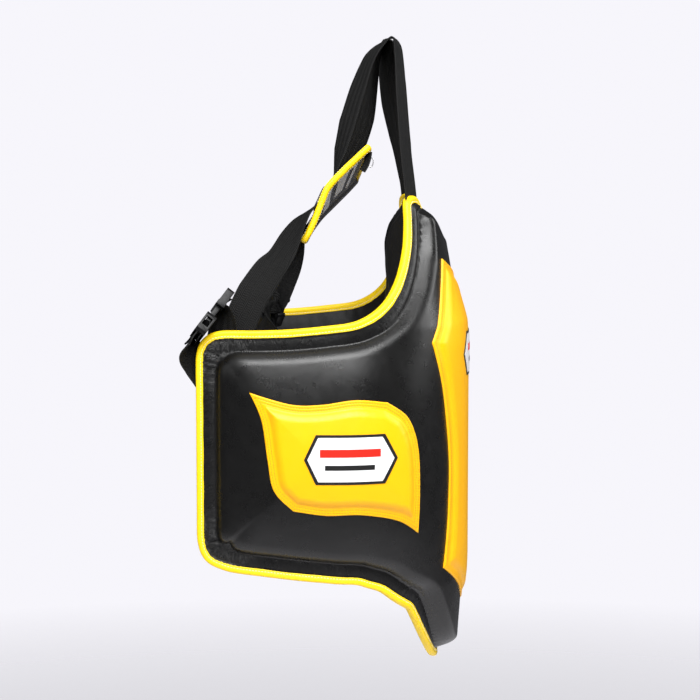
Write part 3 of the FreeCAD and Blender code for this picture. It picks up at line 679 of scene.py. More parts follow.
def cover_half(side):
    s, z = body_grid(72, 128, 150)
    edge, along = nearest(COARSE_HEM, s, z)
    height = outer_height(s, z, edge) + margin_pleats(s, z, edge, along)
    height += 0.5 * noise(s / 46, z / 58, 4) * smoothstep((edge - 30) / 30)
    points = place(side * s, z, height)
    margin = smoothstep((edge - 3) / 4) * (1 - smoothstep((edge - flange_width(s, z)) / 8))
    strength = margin * (0.3 + 0.7 * corner_share(s, z) - 0.15 * front_share(s))
    hem = np.stack((along, edge, strength), -1)
    faces = grid_faces(s.shape[0], s.shape[1], flip=side > 0)
    piece = new_mesh(f"cover_{NAMES[side]}", points, faces, LEATHER, attributes={"hem": hem})
    nodes = ("front_cover", "front_foam", f"wing_cover_{NAMES[side]}", f"wing_foam_{NAMES[side]}")
    return flex(settle(piece, nodes), side)


def lining_half(side):
    s, z = body_grid(48, 84, 90)
    edge, along = nearest(COARSE_HEM, s, z)
    puckers = noise(along / 7, edge / 26, 5) * (1 - smoothstep((edge - 6) / 26)) * 0.7
    folds = 1.1 * noise(s / 30, z / 46, 6) + 0.5 * noise(s / 13, z / 24, 7)
    height = inner_height(s, z, edge) + puckers + folds * smoothstep((edge - 6) / 30)
    points = place(side * s, z, height)
    faces = grid_faces(s.shape[0], s.shape[1], flip=side < 0)
    piece = new_mesh(f"lining_{NAMES[side]}", points, faces, LINING)
    return flex(settle(piece, ("front_lining", f"wing_lining_{NAMES[side]}")), side)


# ---- hem binding ----
# Section of the folded tape: (distance outside the cut edge, height over the flange's outer face).
TAPE_SECTION = [(-4.0, -0.4), (-3.9, 0.6), (-3.1, 1.05), (-2.4, 0.95), (-1.6, 0.6), (-0.8, 1.0), (0.6, 1.35),
                (2.6, 1.3), (4.2, 0.7), (5.0, -1.0), (5.2, -3.0), (5.0, -5.2), (4.2, -6.8), (2.6, -7.4),
                (0.6, -7.4), (-0.8, -7.1), (-1.6, -6.7), (-2.4, -7.0), (-3.1, -7.1), (-3.9, -6.6),
                (-4.0, -5.6)]
STITCH_OFFSET = -1.6


def hem_normals(line):
    """Unit vectors in (s, z) that point out of the body, for a line that runs the way HEM does."""
    ahead = unit(np.gradient(line, axis=0))
    return np.stack((-ahead[:, 1], ahead[:, 0]), -1)


def beside_hem(line, offset):
    return line + hem_normals(line) * np.asarray(offset)[..., None]


def binding_half(side):
    along = lengths_along(HEM)
    corner = corner_share(HEM[:, 0], HEM[:, 1], 30)
    points, tape = [], []
    for k, (offset, out) in enumerate(TAPE_SECTION):
        margin = 1 - smoothstep((offset + 4.0) / 3)
        wander = margin * (0.25 + 0.35 * corner) * noise(along / (11 - 5 * corner), k / 40, 8)
        width = offset + wander + 0.35 * noise(along / 60, 0, 9)
        pulled = 0.5 + 0.5 * np.cos(2 * pi * along / STITCH_SPACING)
        dimple = np.exp(-((offset - STITCH_OFFSET) / 1.1) ** 2) * pulled
        swell = 0.2 * noise(along / 5, k / 9, 10) - 0.3 * dimple
        place_s = beside_hem(HEM, width)
        middle = -FLANGE / 2
        points.append(place(side * np.maximum(0, place_s[:, 0]), place_s[:, 1],
                            out + swell * (1 if out > middle else -1)))
        tape.append(np.stack((along, np.full(len(along), float(k)), np.zeros(len(along))), -1))
    points = np.stack(points, 1)
    faces = tube_faces(len(HEM), len(TAPE_SECTION), caps=False, flip=side < 0)
    attributes = {"tape": np.stack(tape, 1)}
    piece = new_mesh(f"hem_binding_{NAMES[side]}", points, faces, TAPE, attributes=attributes)
    nodes = ("front_top_binding", "tongue_binding", f"wing_binding_{NAMES[side]}")
    return flex(settle(piece, nodes), side)


# ---- stitches ----
# Rings of one thread capsule: (place along it, width, lift over the surface), as shares of its own sizes.
THREAD_RINGS = [(-0.5, 0.25, -0.5), (-0.42, 0.8, -0.1), (-0.2, 1.0, 0.15), (0.2, 1.0, 0.15),
                (0.42, 0.8, -0.1), (0.5, 0.25, -0.5)]
THREAD_SIDES = 6


def stitches(name, path, outward, material, spacing=STITCH_SPACING, length=2.6, radius=0.36):
    """Row of thread capsules along a path of points, each lying on a surface whose normals are given."""
    total = lengths_along(path)
    at = np.arange(spacing / 2, total[-1], spacing)
    centres = taken(path, total, at)
    normals = taken(outward, total, at)
    tangents = taken(path, total, at + 0.4) - taken(path, total, at - 0.4)
    tangents = unit(tangents)
    normals = unit(normals - tangents * np.sum(normals * tangents, axis=1)[:, None])
    beside = np.cross(tangents, normals)
    points = []
    for along, size, lift in THREAD_RINGS:
        for k in range(THREAD_SIDES):
            angle = 2 * pi * k / THREAD_SIDES
            points.append(centres + tangents * along * length + beside * (radius * size * cos(angle))
                          + normals * (radius * (size * sin(angle) + lift)))
    points = np.stack(points, 1)
    one = tube_faces(len(THREAD_RINGS), THREAD_SIDES)
    capsule = len(THREAD_RINGS) * THREAD_SIDES
    faces = [tuple(i + number * capsule for i in face) for number in range(len(at)) for face in one]
    return new_mesh(name, points, faces, material)


def hem_stitches(side):
    """Two stitch rows through the binding, one on each face."""
    line = beside_hem(HEM, np.full(len(HEM), STITCH_OFFSET))
    for face, out in (("outer", 0.8), ("inner", -FLANGE - 0.85)):
        away = 1 if face == "outer" else -1
        path = place(side * line[:, 0], line[:, 1], out)
        outward = (place(side * line[:, 0], line[:, 1], out + 1) - path) * away
        piece = stitches(f"hem_stitches_{face}_{NAMES[side]}", path, outward, CREAM)
        flex(settle(piece), side)


# ---- applied patches ----
def coons(top, bottom, left, right, count):
    """Grid inside four sides, each a list of knots: top and bottom run one way, left and right run down."""
    u = np.linspace(0, 1, count + 1)
    top, bottom = spline(top, u), spline(bottom, u)
    left, right = spline(left, u), spline(right, u)
    a, b = u[:, None, None], u[None, :, None]
    ruled = (1 - b) * top[:, None] + b * bottom[:, None] + (1 - a) * left[None] + a * right[None]
    flat = ((1 - a) * (1 - b) * top[0] + a * (1 - b) * top[-1] + (1 - a) * b * bottom[0] + a * b * bottom[-1])
    outline = np.vstack((top, right[1:], bottom[::-1][1:], left[::-1][1:]))
    return ruled - flat, outline


FRONT_TOP = [(-71, -268), (-38, -279), (0, -287), (38, -279), (71, -268)]
FRONT_BOTTOM = [(-102, -640), (-52, -671), (0, -699), (52, -671), (102, -640)]
FRONT_SIDE = np.vstack((curve([(71, -268), (93, -310), (126, -365)], 40),
                        curve([(126, -365), (106, -430), (93, -500), (94, -575), (102, -640)], 80)[1:]))

TIP_S = CORNER_S + 98
FOOT_S = SPLIT_S + 12
LEAF_TOP = [(FOOT_S + 40, -430), (CORNER_S - 20, -426), (CORNER_S + 14, -431), (CORNER_S + 50, -431),
            (TIP_S, -418)]
LEAF_REAR = [(TIP_S, -418), (CORNER_S + 84, -450), (CORNER_S + 77, -497), (CORNER_S + 70, -532),
             (CORNER_S + 48, -556)]
LEAF_FOOT = [(FOOT_S, -589), (FOOT_S + 27, -571), (CORNER_S - 26, -561), (CORNER_S + 12, -561),
             (CORNER_S + 48, -556)]
LEAF_FRONT = [(FOOT_S + 40, -430), (FOOT_S + 16, -450), (FOOT_S + 3, -485), (FOOT_S, -530), (FOOT_S, -589)]


class Patch:
    """A sewn patch: flat stitched margin, then a raised foam centre."""

    def __init__(self, sides, count, margin, crown, shoulder, rows):
        self.grid, self.outline = coons(*sides, count)
        self.margin = margin
        self.crown = crown
        self.shoulder = shoulder
        self.rows = rows

    def lift(self, s, z):
        """Height of the patch's face over the flange, at points of one side."""
        body_edge, _ = nearest(COARSE_HEM, np.abs(s), z)
        inside, along = nearest(self.outline[::2], s, z)
        t = np.clip((inside - self.margin) / self.shoulder, 0, 1)
        raised = 0.45 * smoothstep(t) + 0.55 * (1 - (1 - t) ** 2.4) * smoothstep(3 * t)
        rise = 1.9 + self.crown * raised + 1.6 * smoothstep((inside - self.margin) / 45)
        for row in self.rows:
            rise = rise - 0.35 * np.exp(-((inside - row) / 0.9) ** 2)
        rim = -0.8 * (1 - smoothstep(inside / 0.9))
        puckers = 0.16 * noise(along / 3.2, inside / 20, 11)
        puckers = puckers * (1 - smoothstep((inside - self.margin - 6) / 10))
        return outer_height(s, z, body_edge) + rise + rim + puckers

    def piece(self, name, side, body, nodes):
        s, z = self.grid[..., 0], self.grid[..., 1]
        lift = self.lift(s, z)
        body_edge, _ = nearest(COARSE_HEM, np.abs(s), z)
        top = place(side * s, z, lift)
        bottom = place(side * s, z, outer_height(s, z, body_edge) - 0.6)
        points, faces = close_grid(top, bottom, flip=side > 0)
        piece = new_mesh(name, points, faces, YELLOW)
        mark_sharp_rim(piece)
        return settle(piece, nodes, body)

    def rows_of_stitches(self, name, side, body):
        for number, row in enumerate(self.rows):
            line = inset(self.outline, row)
            s, z = line[:, 0], line[:, 1]
            path = place(side * s, z, self.lift(s, z) + 0.12)
            above = place(side * s, z, self.lift(s, z) + 1.12)
            piece = stitches(f"{name}_stitches_{number + 1}", path, above - path, GOLD, spacing=3.3,
                             length=2.0, radius=0.34)
            settle(piece, body=body)


def mark_sharp_rim(piece, angle=55):
    """Keeps the cut edge of a patch crisp."""
    mesh = bmesh.new()
    mesh.from_mesh(piece.data)
    for edge in mesh.edges:
        if len(edge.link_faces) == 2 and edge.calc_face_angle() > radians(angle):
            edge.smooth = False
    mesh.to_mesh(piece.data)
    mesh.free()


def inset(outline, distance):
    """The line that runs at a distance inside a closed outline, with the corners cleaned up."""
    ring = evenly(outline, 900)
    ahead = np.roll(ring, -1, axis=0) - np.roll(ring, 1, axis=0)
    ahead /= np.linalg.norm(ahead, axis=1)[:, None] + 1e-9
    area = np.sum(ring[:, 0] * np.roll(ring[:, 1], -1) - np.roll(ring[:, 0], -1) * ring[:, 1])
    turn = 1 if area > 0 else -1
    moved = ring + np.stack((-ahead[:, 1], ahead[:, 0]), -1) * distance * turn
    clear, _ = nearest(ring, moved[:, 0], moved[:, 1])
    kept = moved[clear > distance * 0.97]
    return np.vstack((kept, kept[:1]))


# ---- badges ----
EDGE_THICK = 0.7            # the badge's layers, one on the other
FIELD_THICK = 0.25
BAR_THICK = 0.2
EDGE_WIDTH = 3.2


def plate(name, patch, side, body, s, z, lift, thick, material, nodes=(), sunk=0.5):
    """Thin plate on a patch over a grid in (s, z). Its face stands lift + thick over the patch."""
    base = patch.lift(s, z)
    face = place(side * s, z, base + lift + thick)
    back = place(side * s, z, base + lift - sunk)
    points, faces = close_grid(face, back, flip=side > 0)
    piece = new_mesh(name, points, faces, material)
    mark_sharp_rim(piece)
    return settle(piece, nodes, body)


def bar_grid(centre, half, reach, high, low):
    """Slim bar: reach, high and low are shares of the badge's half sizes."""
    s = centre[0] + half[0] * reach * np.linspace(-1, 1, 25)[:, None]
    z = centre[1] + half[1] * np.linspace(high, low, 17)[None, :]
    return np.broadcast_arrays(s, z)


def hexagon_grid(centre, half, inset_by):
    """Six sides: a tip at each end, and long straight edges above and below."""
    half_s, half_z = half[0] - 1.2 * inset_by, half[1] - inset_by
    reach = half_s * 0.72
    u = np.linspace(0, 1, 49)
    width = np.interp(u, [0, 0.5, 1], [reach, half_s, reach])
    s = centre[0] + np.linspace(-1, 1, 61)[:, None] * width[None, :]
    return s, centre[1] + half_z * (1 - 2 * u)[None, :] + 0 * s


def badge(name, patch, side, body, centre, half, node):
    """Plain generic badge: black edge, white field, one red and one black bar."""
    edge = hexagon_grid(centre, half, 0)
    field = hexagon_grid(centre, half, EDGE_WIDTH)
    red = bar_grid(centre, half, 0.62, 0.42, 0.10)
    black = bar_grid(centre, half, 0.5, -0.22, -0.42)
    over = EDGE_THICK + FIELD_THICK
    plate(f"{name}_edge", patch, side, body, *edge, 0.0, EDGE_THICK, BLACK, (node,))
    plate(f"{name}_field", patch, side, body, *field, EDGE_THICK, FIELD_THICK, WHITE)
    plate(f"{name}_bar_red", patch, side, body, *red, over, BAR_THICK, RED, sunk=0.4)
    plate(f"{name}_bar_black", patch, side, body, *black, over, BAR_THICK, BLACK, sunk=0.4)


# ---- webbing ----
def ribbon_frames(route, steps):
    """Centres, tangents and width directions along a route of (centre, across), with across None where the
    webbing just follows. Between given directions it turns as little as it can."""
    count = steps * (len(route) - 1)
    centres = [Vector(p) for p in spline([centre for centre, _ in route], np.linspace(0, 1, count + 1))]
    tangents = [(centres[min(count, i + 1)] - centres[max(0, i - 1)]).normalized() for i in range(count + 1)]

    def squared(across, i):
        across = Vector(across)
        return (across - tangents[i] * across.dot(tangents[i])).normalized()

    given = {i * steps: squared(across, i * steps) for i, (_, across) in enumerate(route) if across}
    stops = sorted(given)
    widths = [given[stops[0]]] * (stops[0] + 1)
    for start, end in zip(stops, stops[1:]):
        followed = [given[start]]
        for i in range(start + 1, end + 1):
            followed.append(squared(followed[-1], i))
        twist = atan2(tangents[end].dot(followed[-1].cross(given[end])), followed[-1].dot(given[end]))
        for i in range(start + 1, end + 1):
            turn = Quaternion(tangents[i], twist * (i - start) / (end - start))
            widths.append(turn @ followed[i - start])
    while len(widths) <= count:
        widths.append(squared(widths[-1], len(widths)))
    return centres, tangents, widths


def ribbon(name, route, steps=12, row=12, cup=0.8, width=WEBBING, first=0, last=None):
    """Webbing with rounded selvedges, a slight cup across it, and weave coordinates in millimetres. first and
    last are the knots of the route between which it is made."""
    centres, tangents, widths = ribbon_frames(route, steps)
    total = lengths_along(np.array(centres))
    part = slice(first * steps, len(centres) if last is None else last * steps + 1)
    centres, tangents, widths, total = centres[part], tangents[part], widths[part], total[part]
    shares = np.array([-1, -0.97, -0.8, -0.5, -0.2, 0.2, 0.5, 0.8, 0.97, 1])
    fat = np.array([0.45, 1.0, 0.9, 0.9, 0.9, 0.9, 0.9, 0.9, 1.0, 0.45])
    ring_share = np.concatenate((shares, shares[::-1]))
    ring_half = np.concatenate((fat, -fat[::-1])) * WEBBING_THICK / 2
    points, weave = [], []
    for centre, tangent, across, along in zip(centres, tangents, widths, total):
        face = tangent.cross(across)
        lift = cup * float(noise(along / 55, 0.5, row))
        for share, half in zip(ring_share, ring_half):
            bow = lift * (1 - share * share) + 0.18 * float(noise(along / 12, share * 3 + 5, row + 1))
            points.append(centre + across * (share * width / 2) + face * (half + bow))
            weave.append((share * width / 2, along, 1.0 if half > 0 else -1.0))
    faces = tube_faces(len(centres), len(ring_share))
    return new_mesh(name, points, faces, WEB, attributes={"weave": weave})


# The yoke's side edges, top to bottom, as (y, z) of its inner face. It hangs askew: its left is lower.
YOKE_HALF = 46.0
YOKE_RIGHT = [(28, -132), (45, -148), (62, -164), (79, -182), (87, -199), (93, -215), (102, -236),
              (111, -251)]
YOKE_LEFT = [(46, -176), (57, -188), (68, -199), (79, -210), (90, -221), (98, -231), (106, -243),
             (112, -254)]
YOKE_LENGTH = 145.0


def on_yoke(x, share, offset):
    """Points at shares down the yoke, offset outwards from its inner face. Any of them can be a grid."""
    x, share, offset = (np.array(a, float) for a in np.broadcast_arrays(x, share, offset))
    across = (x / YOKE_HALF + 1) / 2

    def profile(at):
        right, left = spline(YOKE_RIGHT, at.ravel()), spline(YOKE_LEFT, at.ravel())
        return (right + (left - right) * across.ravel()[:, None]).reshape(at.shape + (2,))

    middle = profile(share)
    slope = profile(np.minimum(1, share + 0.05)) - profile(np.maximum(0, share - 0.05))
    size = np.hypot(slope[..., 0], slope[..., 1])
    y = middle[..., 0] - slope[..., 1] / size * offset
    z = middle[..., 1] + slope[..., 0] / size * offset
    return np.stack((x, y, z), -1)


SEWN = 6.6
ON_YOKE = (1, 0, -0.28)
SHOULDER_RIGHT = [((-71, -19.5, -207), (1, -0.37, 0)), ((-71, -18.6, -196), (1, -0.37, 0)),
                  ((-69, -16.5, -176), (1, -0.37, 0)), ((-63, -12.5, -140), (1, -0.36, 0)),
                  ((-46, -8, -78), (1, -0.34, 0)), ((-32, -5, -30), (1, -0.28, 0)),
                  ((-27, -2.5, -8), (1, -0.2, 0)), ((-26, 4, -1), (1, 0, 0)),
                  ((-26, 14, -7), (1, 0.15, 0)), ((-26, 31, -26), (1, 0.4, 0)),
                  ((-26, 45, -62), (1, 0.5, 0.15)), ((-26, 58, -104), (1, 0.55, 0.15)),
                  ((-24, 67, -138), (1, 0.4, 0)), (on_yoke(-22, 0.36, 7), ON_YOKE),
                  (on_yoke(-22, 0.5, SEWN - 1), ON_YOKE)]
SHOULDER_LEFT = [((71, -19.5, -207), (1, 0.37, 0)), ((71, -18.6, -196), (1, 0.37, 0)),
                 ((70, -16, -176), (1, 0.37, 0)), ((64, -9, -140), (1, 0.45, 0)), ((47, 3, -86), (1, 0.6, 0)),
                 ((30, 8.6, -34), (1, 0.6, 0)), ((23, 6.5, -10), (1, 0.3, 0)), ((21, 8, -2), (1, 0.1, 0)),
                 ((20, 14, -6), (1, -0.1, 0)), ((18, 23, -30), (1, -0.25, 0)), ((18, 30, -66), (1, -0.5, 0)),
                 ((20, 38, -98), (1, -0.9, 0)), ((22, 48, -128), (1, -0.9, -0.2)),
                 ((22, 66, -166), (1, -0.3, -0.25)), (on_yoke(22, 0.36, 7), ON_YOKE),
                 (on_yoke(22, 0.5, SEWN - 1), ON_YOKE)]

# ---- buckles ----
# A buckle's own frame: X across the webbing, Y through its thickness, Z along the webbing towards the plug's
# strap bars, with the origin at the socket's mouth.
STRAP_TURN = 3.3
TAPE_BAR_Z = -25.0
PLUG_BAR_Z = 26.0
BUCKLE_FATTER = 1.22


def buckle_frame(mouth, axis, across):
    along = Vector(axis).normalized()
    across = Vector(across)
    across = (across - along * across.dot(along)).normalized()
    through = along.cross(across)
    turn = Matrix((across, through, along)).transposed().to_4x4()
    return Matrix.Translation(Vector(mouth)) @ turn


BUCKLES = {
    "right": buckle_frame((-150, 219, -334), (0.35, -0.57, 0.745), (1, 0, 0)),
    "left": buckle_frame((110, 163, -354), (-0.69, -0.31, 0.66), (-0.5, -0.38, -0.78)),
}


def bar_turn(turned, bar_z, towards, sense, straight):
    """Webbing folded half round a bar, with a straight run of that length on both sides."""
    across = tuple(turned.to_3x3() @ Vector((sense, 0, 0)))
    places = [(STRAP_TURN, bar_z - towards * straight), (STRAP_TURN, bar_z - towards * straight / 2)]
    for step in range(5):
        angle = pi * step / 4
        places.append((STRAP_TURN * cos(angle), bar_z + towards * STRAP_TURN * sin(angle)))
    places += [(-y, z) for y, z in places[1::-1]]
    return [(tuple(turned @ Vector((0, y, z))), across) for y, z in places]


# The right strap comes off the yoke with its broad face outwards, droops inside the wing and rises to its
# buckle. The left one goes to its buckle directly and ends in a short tail.
LOWER_RIGHT_DROOP = [(on_yoke(-22, 0.56, SEWN - 1), ON_YOKE),
                     (on_yoke(-24, 0.63, SEWN + 2.5), (0.99, 0.05, -0.1)),
                     ((-34, 112, -217), (0.96, 0.18, 0.1)), ((-45, 125, -237), (0.85, 0.45, 0.27)),
                     ((-60, 138, -263), (0.70, 0.61, 0.37)), ((-72, 151, -279), (0.45, 0.75, 0.48)),
                     ((-85, 163, -297), (0.2, 0.80, 0.56)), ((-97, 173, -313), (0.1, 0.82, 0.56)),
                     ((-110, 189, -350), (0.1, 0.90, 0.40)), ((-119, 198, -384), (0.15, 0.98, 0)),
                     ((-129, 204, -398), (0.15, 0.98, 0)), ((-136, 206, -384), (0.15, 0.98, 0)),
                     ((-140, 205, -358), (0.35, 0.92, 0)), ((-143, 203, -334), (0.7, 0.68, -0.1))]
LOWER_LEFT = [(on_yoke(22, 0.56, SEWN - 1), ON_YOKE),
              (on_yoke(25, 0.75, SEWN + 0.5), (1, 0.05, -0.15)),
              (on_yoke(31, 0.98, SEWN + 5), (1, -0.2, -0.2)),
              ((48, 133, -277), None), ((64, 143, -302), None)]
LEFT_TAIL = [((80, 152, -332), None), ((88, 157, -346), None), ((94, 160, -372), (-0.6, -0.8, 0)),
             ((96, 160, -415), None)]
ANCHOR_START = {"right": [((-143, 206, -450), (0, 1, -0.2)), ((-143, 211, -430), None),
                          ((-143, 219, -408), (0, 1, -0.4)), ((-146, 234, -386), None),
                          ((-156, 245, -371), None)],
                "left": [((144, 186, -446), (0, -0.8, 0.5)), ((143, 196, -430), (0, -0.8, 0.5)),
                         ((140, 197, -412), None), ((137, 188, -394), None)]}


# Knots where each lower strap leaves the yoke, where its second piece begins, and where it meets the plug.
LOWER_KNOTS = {"right": (2, 10, 14), "left": (2, 4, 7)}


def blend_between(piece, route, start, end):
    """Bakes the piece in place; the knots at start and end are read but unused, so it does not follow two
    bodies.
    """
    start, end = (tuple(MM * float(value) for value in route[knot][0]) for knot in (start, end))
    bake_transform(piece)


def harness():
    for name, route in (("right", SHOULDER_RIGHT), ("left", SHOULDER_LEFT)):
        strap = ribbon(f"shoulder_webbing_{name}", route, row=12 if name == "right" else 14)
        settle(strap, (f"shoulder_strap_{name}",), "front")
    right_turn = bar_turn(BUCKLES["right"], PLUG_BAR_Z, 1, 1, 4)[::-1]
    left_turn = bar_turn(BUCKLES["left"], PLUG_BAR_Z, -1, 1, 15)
    routes = {"right": LOWER_RIGHT_DROOP + right_turn, "left": LOWER_LEFT + left_turn + LEFT_TAIL}
    for name, side in (("right", -1), ("left", 1)):
        route = routes[name]
        leaves, split, arrives = LOWER_KNOTS[name]
        lower = ribbon(f"lower_webbing_{name}", route, row=16 + side, last=split)
        blend_between(lower, route, leaves, split)
        looped = ribbon(f"plug_webbing_{name}", route, row=16 + side, first=split)
        blend_between(looped, route, split, arrives)
        for piece in (lower, looped):
            settle(piece, (f"lower_strap_{name}",))
        sense = -1 if name == "right" else 1
        turn = bar_turn(BUCKLES[name], TAPE_BAR_Z, 1, sense, 8)
        tape = ribbon(f"anchor_webbing_{name}", ANCHOR_START[name] + turn, row=20 + side)
        settle(tape, (f"anchor_tape_{name}",), f"wing_{name}")


def yoke():
    across = np.linspace(-0.97, 1.01, 41)[None, :] * YOKE_HALF
    down = np.linspace(0.02, 0.98, 57)[:, None]
    from_side = YOKE_HALF - np.abs(across)
    from_end = (0.5 - np.abs(down - 0.5)) * YOKE_LENGTH
    edge = np.minimum(from_side, from_end)
    over_straps = smoothstep((down - 0.36) / 0.1) * (1 - smoothstep((down - 0.62) / 0.16))
    pillow = 1.0 * smoothstep(edge / 18) + 4.8 * over_straps * smoothstep(from_side / 9)
    ripple = 0.4 * noise(across / 12 + 9, down * 6, 23) * smoothstep(edge / 14)
    outer = on_yoke(across, down, 3.4 + pillow + ripple)
    middle = on_yoke(across, down, 2.2)
    over_tape = 3.2 * smoothstep((across / YOKE_HALF - 0.74) / 0.12)
    inner = on_yoke(across, down, 0.7 - 0.5 * smoothstep(edge / 18) + ripple - over_tape)
    points, faces = close_grid(outer, middle)
    pad = new_mesh("yoke_outer", points, faces, VINYL)
    settle(pad, ("yoke_patch",), "front")
    points, faces = close_grid(middle, inner)
    panel = new_mesh("yoke_inner", points, faces, VINYL)
    settle(panel, ("yoke_panel",), "front")
    yoke_prints()
    yoke_rim()
    yoke_loop()


def yoke_prints():
    """Plain pale bands on the yoke's inner face, slanting across it."""
    bands = ((0.16, 0.20, -0.82, 0.50), (0.26, 0.37, -0.82, 0.35), (0.44, 0.55, -0.80, 0.60),
             (0.60, 0.64, -0.80, 0.10), (0.72, 0.88, -0.80, 0.70))
    for number, (high, low, left, right) in enumerate(bands):
        across = np.linspace(left, right, 17)[None, :] * YOKE_HALF
        down = np.linspace(high, low, 9)[:, None] + 0.05 * (across / YOKE_HALF)
        top = on_yoke(across, down, -0.45)
        under = on_yoke(across, down, 0.1)
        points, faces = close_grid(under, top)
        piece = new_mesh(f"yoke_print_{number + 1}", points, faces, PALE)
        settle(piece, body="front")


# Section of the tape round the yoke: (distance inside the rim, height over the yoke's inner face).
RIM_SECTION = [(5.6, 4.4), (5.2, 6.0), (3.6, 6.3), (1.0, 5.9), (-0.4, 4.5), (-0.9, 2.1), (-0.4, -0.3),
               (1.0, -1.7), (3.6, -1.9), (5.2, -1.5), (5.6, -0.2)]


def yoke_outline():
    """The yoke's flat outline with rounded corners, and the unit vectors that point inwards from it."""
    half = YOKE_HALF
    corners = np.array([(-half, 0), (-half, YOKE_LENGTH), (half, YOKE_LENGTH), (half, 0), (-half, 0)], float)
    ring = evenly(corners, 330)[:-1]
    for _ in range(40):
        ring = (np.roll(ring, 1, axis=0) + 2 * ring + np.roll(ring, -1, axis=0)) / 4
    ahead = unit(np.roll(ring, -1, axis=0) - np.roll(ring, 1, axis=0))
    return ring, np.stack((ahead[:, 1], -ahead[:, 0]), -1)


def yoke_rim():
    """Tape folded round the yoke's rim, with its stitches."""
    ring, inward = yoke_outline()
    along = lengths_along(ring)
    count = len(RIM_SECTION)
    inset_by, offset = np.array(RIM_SECTION).T[:, None, :]
    offset = offset + 0.25 * noise(along[:, None] / 8, np.arange(count)[None, :] / 5, 25)
    spot = ring[:, None, :] + inward[:, None, :] * inset_by[..., None]
    points = on_yoke(spot[..., 0], np.clip(spot[..., 1] / YOKE_LENGTH, 0, 1), offset)
    tape = np.stack((np.repeat(along, count), np.tile(np.arange(count), len(ring)),
                     np.zeros(points.size // 3)), -1)
    faces = tube_faces(len(ring), count, closed_path=True)
    rim = new_mesh("yoke_binding_tape", points, faces, TAPE, attributes={"tape": tape})
    settle(rim, ("yoke_binding",), "front")
    spot = ring + inward * 3.6
    share = spot[:, 1] / YOKE_LENGTH
    for face, offset, away in (("outer", 6.4, 1), ("inner", -2.0, -1)):
        path = on_yoke(spot[:, 0], share, offset)
        above = on_yoke(spot[:, 0], share, offset + away)
        row = stitches(f"yoke_stitches_{face}", path, above - path, CREAM, spacing=3.4, length=2.4,
                       radius=0.3)
        settle(row, body="front")


def yoke_loop():
    """Small folded tab with a wire ring, sewn inside the yoke's top near the right edge."""
    route = [((-34, 32, -140), (0.8, 0.6, 0)), ((-35, 33, -147), None), ((-36, 36, -156), None),
             ((-36, 40, -163), (0.8, 0.6, 0))]
    tab = ribbon("yoke_tab", route, steps=8, row=40, cup=0.3, width=12)
    settle(tab, body="front")
    centre = np.array((-36.0, 30.0, -152.0))
    radius, wire, steps, sides = 6.0, 0.8, 40, 8
    points = []
    for angle in np.linspace(0, 2 * pi, steps, endpoint=False):
        out = np.array((0.0, 0.55 * cos(angle), sin(angle)))
        for k in range(sides):
            turn = 2 * pi * k / sides
            points.append(centre + out * (radius + wire * cos(turn)) + np.array((wire * sin(turn), 0, 0)))
    ring = new_mesh("yoke_ring", points, tube_faces(steps, sides, closed_path=True), STEEL)
    settle(ring, body="front")


def bevelled(name, node, body, width):
    """A moulded piece from a node's solid, a little fatter and with its edges rounded."""
    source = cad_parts[node]
    mesh = bmesh.new()
    mesh.from_mesh(source.data)
    turned = BUCKLES[node.split("_")[-1]]
    for corner in mesh.verts:
        local = turned.inverted() @ (corner.co / MM)
        local.y *= BUCKLE_FATTER
        corner.co = (turned @ local) * MM
    bmesh.ops.remove_doubles(mesh, verts=mesh.verts, dist=0.00001)
    bmesh.ops.dissolve_limit(mesh, angle_limit=radians(4), verts=mesh.verts, edges=mesh.edges)
    data = bpy.data.meshes.new(name)
    mesh.to_mesh(data)
    mesh.free()
    data.materials.clear()
    data.materials.append(PLASTIC)
    piece = bpy.data.objects.new(name, data)
    bpy.context.scene.collection.objects.link(piece)
    bevel = piece.modifiers.new("edges", "BEVEL")
    bevel.width = width * MM
    bevel.segments = 3
    bevel.limit_method = "ANGLE"
    bevel.angle_limit = radians(40)
    bevel.use_clamp_overlap = True
    apply_modifiers(piece)
    piece.data.polygons.foreach_set("use_smooth", [True] * len(piece.data.polygons))
    mark_sharp_rim(piece, 32)
    settle(piece, (node,), body)


def apply_modifiers(piece):
    graph = bpy.context.evaluated_depsgraph_get()
    data = bpy.data.meshes.new_from_object(piece.evaluated_get(graph))
    piece.modifiers.clear()
    piece.data = data


def buckles():
    for name in ("right", "left"):
        bevelled(f"socket_body_{name}", f"buckle_socket_{name}", f"wing_{name}", 1.0)
        bevelled(f"plug_body_{name}", f"buckle_plug_{name}", f"plug_{name}", 0.8)
        for arm in ("upper", "lower"):
            bevelled(f"latch_{arm}_{name}_body", f"latch_arm_{arm}_{name}", f"latch_{arm}_{name}", 0.6)


# ---- stage ----
TARGET = Vector((0, 0.055, -0.386))
CAMERA_AWAY = 2.5
CAMERA_AZIMUTH = 270.0
CAMERA_RISE = 5.5
VIEW_WIDTH = 0.875
SENSOR = 36
FLOOR_Z = -1.5


def direction(azimuth, rise):
    a, e = radians(azimuth), radians(rise)
    return Vector((sin(a) * cos(e), -cos(a) * cos(e), sin(e)))


def camera():
    data = bpy.data.cameras.new("camera")
    data.sensor_width = SENSOR
    data.lens = SENSOR * CAMERA_AWAY / VIEW_WIDTH
    item = bpy.data.objects.new("camera", data)
    bpy.context.scene.collection.objects.link(item)
    away = direction(CAMERA_AZIMUTH, CAMERA_RISE)
    item.location = TARGET + away * CAMERA_AWAY
    item.rotation_euler = (-away).to_track_quat("-Z", "Y").to_euler()
    bpy.context.scene.camera = item


